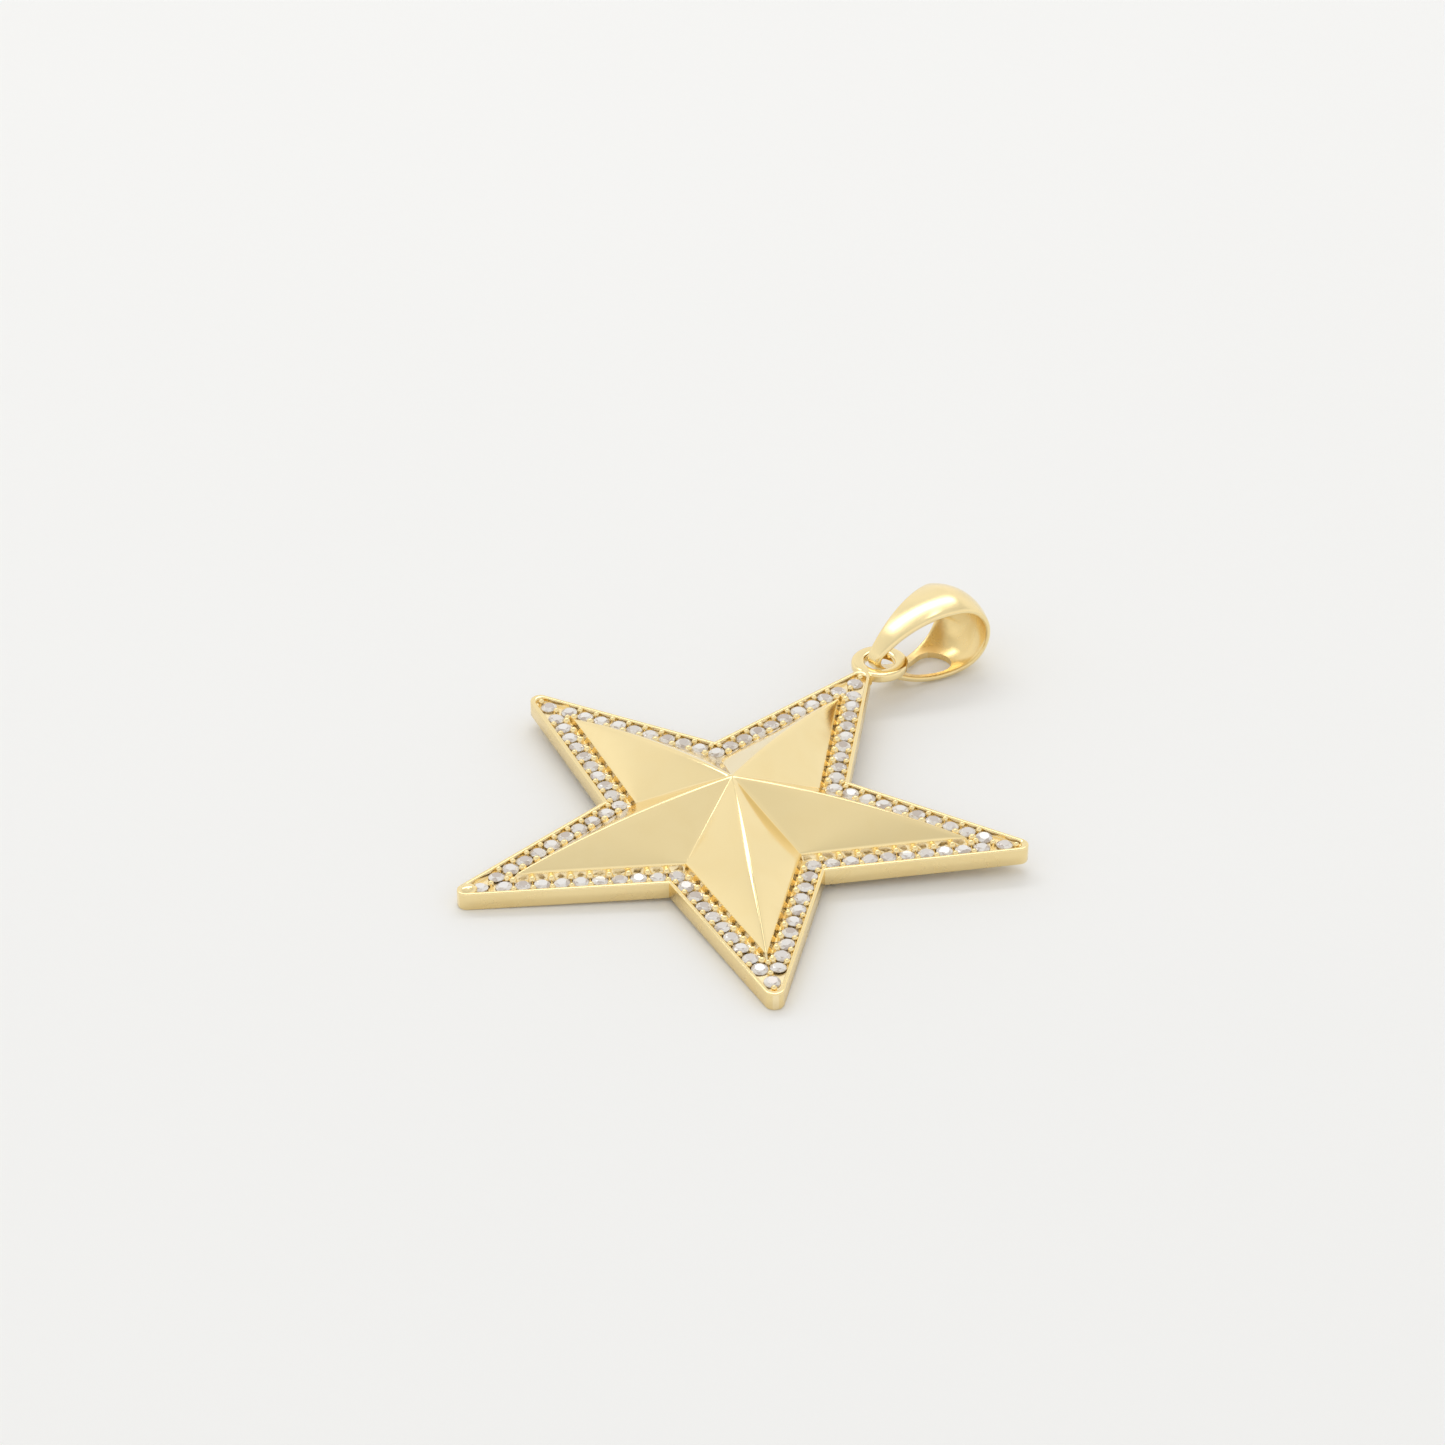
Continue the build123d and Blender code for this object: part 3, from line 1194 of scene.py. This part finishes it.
    def tools(self, name: str, middles: Sequence[Flat], profile: Sequence[Flat]) -> Piece:
        """Builds a round tool at each place.

        Args:
            name: The piece's name.
            middles: Where the tools stand.
            profile: Radius and height of each ring, from the lowest up.

        Returns:
            All the tools as one piece.
        """
        draft = MeshDraft()
        for middle in middles:
            draft.add_post(middle, profile, self.tool_sides)
        return draft.build(name)

    def beads(self) -> Piece:
        """Builds the beads, each a short post with a rounded head.

        Returns:
            All the beads as one piece.
        """
        draft = MeshDraft()
        for middles, (width, top) in zip(self.border.beads(), (self.outer_bead, self.inner_bead)):
            profile = [(self.bead_foot * width, -self.bead_root)]
            profile += [(width * math.cos(a), top - width + width * math.sin(a)) for a in self.bead_slopes]
            for middle in middles:
                draft.add_post(middle, profile, self.bead_sides, top)
        return draft.build("beads")

    def loop(self) -> Piece:
        """Builds the loop, a rounded flat wire bent to a ring.

        Returns:
            The loop.
        """
        around, sides = self.loop_steps
        wire = blunt_oval(*self.loop_wire, self.loop_blunt, sides)
        section = [(self.loop_radius + x, z - self.loop_depth) for x, z in wire]
        rings = [
            [(self.loop_offset + out * c, self.loop_distance + out * s, height) for out, height in section]
            for c, s, _ in circle(1.0, 0.0, around)
        ]
        draft = MeshDraft()
        draft.add_skin(rings, closed=True)
        return draft.build("loop")

    def neck(self) -> Piece:
        """Builds the short neck between the hanging tip and the loop.

        Returns:
            The neck.
        """
        half_width, half_height = self.neck_size
        start = self.tip_end - self.neck_overlap
        end = self.loop_distance - self.loop_radius
        rings = []
        for share in self.neck_shares:
            waist = 1.0 - self.neck_waist * math.sin(math.pi * share)
            section = blunt_oval(half_width * waist, half_height * waist, self.neck_blunt, self.neck_sides)
            y = start + share * (end - start)
            rings.append([(self.loop_offset / 2.0 + x, y, z - self.loop_depth) for x, z in section])
        draft = MeshDraft()
        added = draft.add_skin(rings)
        draft.cap(added[0])
        draft.cap(added[-1], flip=True)
        return draft.build("neck")

    def nub(self) -> Piece:
        """Builds the rounded nub that closes the channel at one tip.

        Returns:
            The nub.
        """
        angle = self.outline.arm_angle(self.nub_arm)
        half_length, half_width, half_height = self.nub_size
        middle = self.tip_end - half_length - self.nub_gap
        rows, sides = self.nub_steps
        rings = []
        for i in range(1, rows):
            tilt = math.pi * i / rows - math.pi / 2.0
            height = half_height * math.sin(tilt) - self.nub_depth
            spread = math.cos(tilt) ** self.nub_fullness
            length, width = half_length * spread, half_width * spread
            oval = [(middle + length * c, width * s) for c, s, _ in circle(1.0, 0.0, sides)]
            rings.append([(x, y, height) for x, y in turned(oval, angle)])
        draft = MeshDraft()
        added = draft.add_skin(rings)
        x, y = turned([(middle, 0.0)], angle)[0]
        draft.close_to(added[0], (x, y, -self.nub_depth - half_height), outward=False)
        draft.close_to(added[-1], (x, y, -self.nub_depth + half_height))
        return draft.build("nub")

    def _finish(self, face: bpy.types.MeshPolygon) -> int:
        """Finish of a face: polished where the wheel reaches, and a paler gold with painted light in the
        channel.

        Args:
            face: The face, still flat and in millimetres.

        Returns:
            The number of its finish.
        """
        x, y, z = face.center
        if z > -self.edge or (y > self.tip_end and face.normal.z > self.underside):
            return StarFinish.POLISHED
        inside_rim = self.outline.inset_at(x, y) > self.border.rim_width - self.rim_margin
        return StarFinish.CHANNEL if inside_rim and z > -self.thickness / 2.0 else StarFinish.SATIN

    def build(self, finishes: Mapping[StarFinish, Finish]) -> Piece:
        """Builds and dresses the star.

        Args:
            finishes: Its finishes.

        Returns:
            The star, laid down.
        """
        piece = self.plate()
        work_with(piece, self.tools("seats", self.border.stones(), self.seat), CutMode.CUT)
        work_with(piece, self.tools("scoops", self.border.scoops(), self.scoop), CutMode.CUT)
        for extra in (self.loop(), self.neck(), self.nub(), self.beads()):
            work_with(piece, extra, CutMode.JOIN)
        paint(piece, [finishes[number] for number in StarFinish], self._finish)
        soften(piece, self.crease)
        RESTING.lay_down(piece)
        return piece


@dataclass
class BorderSetting:
    """The hundred round brilliants of the border.

    Attributes:
        border: Where they stand.
        table: Radius of the table.
        culet: Radius of the culet.
        table_sink: Depth of the table under the rim.
        crown: Height of the crown.
        girdle: Height of the girdle.
        pavilion: Depth of the pavilion.
        star_share: How far over the crown the star facets reach.
        star_drop: Drop at their outer ends, as a share of a straight slope's.
        lower_share: How far down the pavilion the lower halves reach.
        spin: Turn from each stone to the next, in radians.
        lean: How far a stone may lean out of level, in degrees.
        lean_turns: Turns of the two leans from each stone to the next, in radians.
        pivot: Height that the stones lean about.
    """

    border: BorderStones
    table: float = 0.31
    culet: float = 0.012
    table_sink: float = 0.03
    crown: float = 0.15
    girdle: float = 0.05
    pavilion: float = 0.4
    star_share: float = 0.5
    star_drop: float = 0.93
    lower_share: float = 0.76
    spin: float = 2.399963
    lean: float = 5.0
    lean_turns: Flat = (1.7, 2.3)
    pivot: float = -0.2

    def brilliant(self) -> MeshDraft:
        """Draws one stone with its table up.

        Returns:
            The stone: table, culet, stars, kites, upper halves, girdle, lower halves and mains.
        """
        radius, table_z = self.border.radius, -self.table_sink
        girdle_top = table_z - self.crown
        girdle_foot = girdle_top - self.girdle
        flat_table = self.table * math.cos(math.pi / 8)
        star_radius = flat_table + self.star_share * (radius - flat_table)
        star_z = table_z - self.crown * (star_radius - self.table) / (radius - self.table) * self.star_drop
        deep_z = girdle_foot - self.pavilion * self.lower_share
        stone = MeshDraft()
        table = stone.add_ring(circle(self.table, table_z, 8, 0.5))
        middle = stone.add_ring(circle(star_radius, star_z, 8))
        upper = stone.add_ring(circle(radius, girdle_top, 16))
        lower = stone.add_ring(circle(radius, girdle_foot, 16))
        deep = stone.add_ring(circle(radius * (1.0 - self.lower_share), deep_z, 8))
        culet = stone.add_ring(circle(self.culet, girdle_foot - self.pavilion, 8, 0.5))
        stone.cap(table)
        stone.cap(culet, flip=True)
        for i in range(8):
            j = (i + 1) % 8
            up_before, up, up_after = upper[2 * i - 1], upper[2 * i], upper[2 * i + 1]
            low_before, low, low_after = lower[2 * i - 1], lower[2 * i], lower[2 * i + 1]
            stone.faces += [
                (table[i - 1], middle[i], table[i]),
                (middle[i], up_after, middle[j], table[i]),
                (middle[i], up, up_after),
                (middle[i], up_before, up),
                (up, low, low_after, up_after),
                (up_before, low_before, low, up),
                (low, deep[i], low_after),
                (low_before, deep[i], low),
                (low_after, deep[i], culet[i], deep[j]),
                (deep[i], culet[i - 1], culet[i]),
            ]
        return stone

    def build(self, finish: Finish) -> Piece:
        """Builds and dresses all the stones, each turned a little differently.

        Args:
            finish: The stones' finish.

        Returns:
            The stones, laid down.
        """
        draft, stone = MeshDraft(), self.brilliant()
        pivot, lean = Vector((0.0, 0.0, self.pivot)), math.radians(self.lean)
        over_turn, side_turn = self.lean_turns
        for index, (x, y) in enumerate(self.border.stones()):
            turn = Matrix.Rotation(index * self.spin, 3, "Z")
            over = Matrix.Rotation(lean * math.sin(index * over_turn), 3, "X")
            over = over @ Matrix.Rotation(lean * math.cos(index * side_turn), 3, "Y")
            shift = Vector((x, y, 0.0))
            placed = [over @ (turn @ (Vector(p) - pivot)) + pivot + shift for p in stone.points]
            draft.add_copy(placed, stone.faces)
        piece = draft.build("border_stones")
        paint(piece, [finish])
        RESTING.lay_down(piece)
        return piece


@dataclass
class TeardropBail:
    """The bail: a domed band bent to a teardrop, with an opening in its back leg.

    Attributes:
        length: Distance between the middles of its two rounds.
        small_radius: Radius of the round in the loop.
        large_radius: Radius of the round at the far end.
        upper_leg: Radius of the leg on top.
        lower_leg: Radius of the leg underneath.
        wall: Thickness of the band.
        dome: How much lower the far end's edges lie than its middle.
        small_dome: The same at the round in the loop.
        narrow_width: Width in the loop.
        wide_width: Width at the far end.
        yaw: Turn to the side, in degrees.
        pitch: Lean, in degrees.
        origin: Middle of the small round.
        window: Distance along the bail and radius of each end of the opening.
        window_reach: Heights that the opening is cut between.
        window_steps: Steps round each end of the opening.
        arc_steps: Steps along the upper leg, the small round, the lower leg and the large round.
        across_steps: Steps across the band.
        edge_steps: Steps round each edge.
        settling: Rounds of working out how wide the band is where a point lies.
        inward: How squarely a face must look into the teardrop to count as inside.
        crease: Angle between faces that stays a crease, in degrees.
    """

    length: float = 5.3
    small_radius: float = 0.93
    large_radius: float = 2.95
    upper_leg: float = 9.0
    lower_leg: float = 7.8
    wall: float = 0.41
    dome: float = 0.9
    small_dome: float = 0.3
    narrow_width: float = 1.0
    wide_width: float = 5.5
    yaw: float = 22.0
    pitch: float = 0.5
    origin: Point = (0.3362, 20.6202, 0.1)
    window: tuple[Flat, Flat] = ((2.6, 0.7), (4.6, 1.25))
    window_reach: Flat = (-0.2, -4.5)
    window_steps: int = 20
    arc_steps: tuple[int, int, int, int] = (34, 18, 34, 44)
    across_steps: int = 22
    edge_steps: int = 10
    settling: int = 4
    inward: float = 0.3
    crease: float = 40.0

    def directions(self) -> tuple[Vector, Vector, Vector]:
        """Directions of the bail.

        Returns:
            Unit vectors along it, across it and up from it.
        """
        yaw, pitch = math.radians(self.yaw), math.radians(self.pitch)
        level = math.cos(pitch)
        along = Vector((math.sin(yaw) * level, math.cos(yaw) * level, math.sin(pitch)))
        across = Vector((math.cos(yaw), -math.sin(yaw), 0.0))
        return along, across, across.cross(along)

    def placed(self, line: Iterable[Point]) -> list[Vector]:
        """Points given along, across and up from the bail, where they lie on the flat star."""
        along, across, up = self.directions()
        return [Vector(self.origin) + a * along + n * across + b * up for a, n, b in line]

    def profile(self, inset: float, off_middle: float) -> list[Flat]:
        """The teardrop at a distance from the bail's middle plane.

        Args:
            inset: Depth under the outer surface.
            off_middle: Distance from the middle plane.

        Returns:
            Points along and up, in order round the teardrop.
        """
        share = (2.0 * off_middle / self.wide_width) ** 2
        small = self.small_radius - inset - self.small_dome * share
        large = self.large_radius - inset - self.dome * share
        full_turn = 2.0 * math.pi
        legs = []
        for leg, side in ((self.upper_leg, 1), (self.lower_leg, -1)):
            radius = leg - inset - self.dome * share
            to_small, to_large = radius - small, radius - large
            x = (to_small**2 - to_large**2 + self.length**2) / (2.0 * self.length)
            y = -side * math.sqrt(to_small**2 - x**2)
            ends = (math.atan2(-y, -x) % full_turn, math.atan2(-y, self.length - x) % full_turn)
            legs.append(((x, y), radius, *ends))
        (up_c, up_r, up_small, up_large), (low_c, low_r, low_small, low_large) = legs
        arcs = [
            (up_c, up_r, up_large, up_small),
            ((0.0, 0.0), small, up_small, low_small),
            (low_c, low_r, low_small, low_large),
            ((self.length, 0.0), large, low_large, up_large + full_turn),
        ]
        points = []
        for ((x, y), radius, start, end), steps in zip(arcs, self.arc_steps):
            angles = [start + (end - start) * i / steps for i in range(steps)]
            points += [(x + radius * math.cos(angle), y + radius * math.sin(angle)) for angle in angles]
        return points

    def half_width(self, along: float) -> float:
        """Half of the band's width at a distance along the bail.

        Args:
            along: The distance, from the middle of the small round.

        Returns:
            The half width.
        """
        run = self.length + self.large_radius + self.small_radius
        slope = (self.wide_width - self.narrow_width) / 2.0 / run
        return self.narrow_width / 2.0 + slope * (along + self.small_radius)

    def _line(self, inset: float, share: float, past: float) -> list[Point]:
        """A line round the band.

        Args:
            inset: Depth under the outer surface.
            share: Share of the flat width, from -1 to 1.
            past: Distance past the start of the rounded edge.

        Returns:
            Points along, across and up.
        """
        edge = self.wall / 2.0
        place: list[Flat] = self.profile(inset, 0.0)
        for _ in range(self.settling):
            off = [share * (self.half_width(a) - edge) + math.copysign(past, share) for a, _ in place]
            place = [self.profile(inset, n)[i] for i, n in enumerate(off)]
        return [(a, n, b) for (a, b), n in zip(place, off)]

    def shell(self) -> Piece:
        """Builds the band, with fully rounded edges.

        Returns:
            The band, without its opening.
        """
        edge = self.wall / 2.0
        shares = [-1.0 + 2.0 * i / self.across_steps for i in range(self.across_steps + 1)]
        bends = [math.pi * i / self.edge_steps for i in range(1, self.edge_steps)]
        lines = [self._line(0.0, share, 0.0) for share in shares]
        lines += [self._line(edge * (1.0 - math.cos(bend)), 1.0, edge * math.sin(bend)) for bend in bends]
        lines += [self._line(self.wall, share, 0.0) for share in reversed(shares)]
        lines += [self._line(edge * (1.0 + math.cos(bend)), -1.0, edge * math.sin(bend)) for bend in bends]
        draft = MeshDraft()
        draft.add_skin([self.placed(line) for line in lines], closed=True)
        return draft.build("bail_band")

    def window_tool(self) -> Piece:
        """Builds the body that cuts the opening in the back leg.

        Returns:
            An upright body with two round ends of different size.
        """
        (start, start_radius), (end, end_radius) = self.window
        lean = math.asin((end_radius - start_radius) / (end - start))
        quarter = math.pi / 2.0
        rounds = (
            (start, start_radius, quarter + lean, 3.0 * quarter - lean),
            (end, end_radius, -quarter - lean, quarter + lean),
        )
        outline = []
        for centre, radius, low, high in rounds:
            angles = [low + (high - low) * i / self.window_steps for i in range(self.window_steps + 1)]
            outline += [(centre + radius * math.cos(angle), radius * math.sin(angle)) for angle in angles]
        draft = MeshDraft()
        levels = [[(a, n, height) for a, n in outline] for height in self.window_reach]
        added = draft.add_skin(self.placed(level) for level in levels)
        draft.cap(added[0])
        draft.cap(added[1], flip=True)
        return draft.build("window_tool")

    def _finish(self, face: bpy.types.MeshPolygon) -> int:
        """Finish of a face.

        Args:
            face: The face, still flat and in millimetres.

        Returns:
            1 where it looks into the teardrop, otherwise 0.
        """
        along, across, _ = self.directions()
        outward = face.center - Vector(self.origin) - along * self.length / 2.0
        outward -= across * outward.dot(across)
        return int(face.normal.dot(outward.normalized()) < -self.inward)

    def build(self, outside: Finish, inside: Finish) -> Piece:
        """Builds and dresses the bail.

        Args:
            outside: Finish of its outside.
            inside: Finish of its inside, its deeper colour painted shade.

        Returns:
            The bail, laid down.
        """
        piece = self.shell()
        work_with(piece, self.window_tool(), CutMode.CUT)
        paint(piece, [outside, inside], self._finish)
        soften(piece, self.crease)
        RESTING.lay_down(piece)
        return piece


@dataclass(frozen=True)
class PhotographerCamera:
    """The camera, at the photograph's place and framing.

    Attributes:
        place: Its place over the flat star, in millimetres.
        right: Its right-hand direction over the flat star.
        up: Its upward direction over the flat star.
        lens: Focal length on a sensor as wide as sensor.
        sensor: Width of the sensor.
        clip: Nearest and farthest distance that it sees, in metres.
    """

    place: Point = (104.3097, -195.9781, 156.3171)
    right: Point = (0.88184888, 0.4715306, -0.00120685)
    up: Point = (-0.26228991, 0.49265404, 0.82975659)
    lens: float = 107.165
    sensor: float = 36.0
    clip: Flat = (0.01, 20.0)

    def build(self) -> None:
        """Makes the camera and gives it to the scene."""
        data = bpy.data.cameras.new("photographer")
        data.lens = self.lens
        data.sensor_width = self.sensor
        data.sensor_fit = "HORIZONTAL"
        data.clip_start, data.clip_end = self.clip
        camera = bpy.data.objects.new("photographer", data)
        bpy.context.scene.collection.objects.link(camera)
        right, up = Vector(self.right), Vector(self.up)
        axes = Matrix((right, up, right.cross(up))).transposed()
        facing = (RESTING.turn() @ axes).to_4x4()
        facing.translation = RESTING.matrix() @ Vector(self.place)
        camera.matrix_world = facing
        bpy.context.scene.camera = camera


@dataclass(frozen=True)
class SoftPanel:
    """A soft white light panel that faces the pendant.

    Attributes:
        name: Its name.
        azimuth: Direction it stands in, in degrees from +X.
        elevation: Its height over the floor, in degrees.
        distance: Its distance, in metres.
        size: Its width and height, in metres.
        brightness: Brightness of its face.
    """

    name: str
    azimuth: float
    elevation: float
    distance: float
    size: Flat
    brightness: float

    def build(self) -> None:
        """Makes the panel's light."""
        data = bpy.data.lights.new(self.name, "AREA")
        data.shape = "RECTANGLE"
        data.size, data.size_y = self.size
        data.energy = self.brightness * math.pi * self.size[0] * self.size[1]
        panel = bpy.data.objects.new(self.name, data)
        bpy.context.scene.collection.objects.link(panel)
        azimuth, elevation = math.radians(self.azimuth), math.radians(self.elevation)
        level = math.cos(elevation)
        direction = Vector((level * math.cos(azimuth), level * math.sin(azimuth), math.sin(elevation)))
        panel.location = direction * self.distance
        panel.rotation_euler = direction.to_track_quat("Z", "Y").to_euler()


@dataclass
class Studio:
    """The pale floor, the light tent and the soft panels.

    Attributes:
        floor_radius: The floor's radius, in metres.
        floor_sides: Its number of sides.
        fold_scale: How many soft folds the tent's cloth has.
        fold_depth: How much brighter or dimmer a fold is, as a share.
        fold_range: Values of the noise between the dimmest and the brightest fold.
        warmth: Green and blue of the tent's cloth, as shares of its red.
        panels: The soft panels.
        tent: Height over the floor, as a share, and brightness of each stop of the tent.
    """

    floor_radius: float = 1.6
    floor_sides: int = 96
    fold_scale: float = 3.0
    fold_depth: float = 0.06
    fold_range: Flat = (0.3, 0.7)
    warmth: Flat = (0.995, 0.985)
    panels: tuple[SoftPanel, ...] = (
        SoftPanel("back_strip", 133.0, 56.0, 0.7, (0.72, 0.14), 2.6),
        SoftPanel("ridge_strip", 108.0, 72.0, 0.7, (0.10, 0.16), 1.7),
    )
    tent: tuple[Flat, ...] = (
        (0.0, 0.94),
        (0.35, 0.98),
        (0.60, 0.95),
        (0.76, 0.735),
        (0.90, 0.785),
        (1.0, 0.865),
    )

    def floor(self, finish: Finish) -> Piece:
        """Builds the floor.

        Args:
            finish: Its finish.

        Returns:
            The floor, its face up.
        """
        draft = MeshDraft()
        draft.cap(draft.add_ring(circle(self.floor_radius, 0.0, self.floor_sides)))
        piece = draft.build("floor")
        if piece.data.polygons[0].normal.z < 0.0:
            piece.data.flip_normals()
        paint(piece, [finish])
        return piece

    def light_tent(self) -> None:
        """Makes the world: a pale tent, bright at its walls and dimmer overhead, with soft folds."""
        world = bpy.data.worlds.new("light_tent")
        world.use_nodes = True
        draft = NodeDraft(world.node_tree)
        place = draft.node("ShaderNodeTexCoord", {}).outputs["Generated"]
        height = draft.node("ShaderNodeSeparateXYZ", {"Vector": place}).outputs["Z"]
        ramp = draft.node("ShaderNodeValToRGB", {"Fac": height})
        stops = ramp.color_ramp.elements
        while len(stops) < len(self.tent):
            stops.new(0.5)
        green, blue = self.warmth
        for stop, (share, level) in zip(stops, self.tent):
            stop.position = share
            stop.color = (level, level * green, level * blue, 1.0)
        folds = draft.noise(place, self.fold_scale, detail=1.0)
        dim, bright = 1.0 - self.fold_depth, 1.0 + self.fold_depth
        strength = draft.ranged(folds, *self.fold_range, start=dim, end=bright)
        sky = world.node_tree.nodes["Background"].inputs
        draft.feed(sky["Color"], ramp.outputs["Color"])
        draft.feed(sky["Strength"], strength)
        bpy.context.scene.world = world

    def build(self, finish: Finish) -> Piece:
        """Sets up the whole studio.

        Args:
            finish: The floor's finish.

        Returns:
            The floor.
        """
        bpy.context.scene.view_settings.view_transform = "Standard"
        self.light_tent()
        for panel in self.panels:
            panel.build()
        return self.floor(finish)


@dataclass
class StarPendant:
    """The whole pendant, its pieces built in order.

    Attributes:
        shop: The shader groups that its finishes share.
    """

    shop: Workshop

    def star_finishes(self) -> dict[StarFinish, Finish]:
        """Makes the star's finishes.

        Returns:
            The material of each finish.
        """
        # Painted light: the channel's gold is a paler, brighter copy of the satin gold, lifting the shade in
        # the channel; its roughness is its own.
        painted_light_channel = SatinGold((1.0, 0.86, 0.55, 1.0), (0.97, 0.78, 0.44, 1.0), 0.18, 0.32, 0.012)
        return {
            StarFinish.POLISHED: PolishedGold().material("polished_gold", self.shop),
            StarFinish.SATIN: SatinGold().material("satin_gold", self.shop),
            StarFinish.CHANNEL: painted_light_channel.material("channel_gold", self.shop),
        }

    def bail_finishes(self) -> tuple[Finish, Finish]:
        """Makes the bail's finishes.

        Returns:
            The material of its outside and that of its inside, whose deeper, more orange colour is painted
            shade.
        """
        outside = PolishedGold(gloss=0.19, smear_gloss=0.24, depth=0.005)
        # Painted shade: the inside is satin gold in a deeper, more orange colour for the hollow of the
        # teardrop; its satin roughness is its own.
        inside = SatinGold((0.91, 0.72, 0.36, 1.0), (0.82, 0.60, 0.25, 1.0), 0.20, 0.34, 0.01)
        return outside.material("bail_gold", self.shop), inside.material("inner_gold", self.shop)

    def _settle(self, piece: Piece, slot: Slot, *nodes: str) -> None:
        """Puts a piece on the frame in place of its solids.

        Args:
            piece: The piece.
            slot: The record's slot for the piece; not used.
            *nodes: The solids that it stands for.
        """
        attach(piece, "root")
        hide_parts(*nodes)
        LOG.info("%s: %d faces", piece.name, len(piece.data.polygons))

    def build(self) -> None:
        """Builds the star, the stones and the bail."""
        outline = StarOutline()
        border = BorderStones(outline)
        hollow = RidgedStar(outline, 2.59, -0.7, 2.2, ridge_softness=0.12, valley_softness=0.12)
        casting = StarCasting(outline, border, RidgedStar(outline), hollow)
        self._settle(casting.build(self.star_finishes()), Slot.GOLD, "star")
        clear = ClearStone().material("clear_stone", self.shop)
        self._settle(BorderSetting(border).build(clear), Slot.STONE, "stones")
        self._settle(TeardropBail().build(*self.bail_finishes()), Slot.GOLD, "bail")


def main() -> None:
    """Builds the camera, the pendant and the studio."""
    logging.basicConfig(level=logging.INFO, format="%(message)s")
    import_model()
    PhotographerCamera().build()
    shop = Workshop()
    StarPendant(shop).build()
    floor = Studio().build(PaleFloor().material("pale_floor", shop))
    bpy.context.view_layer.update()


if __name__ == "__main__":
    main()
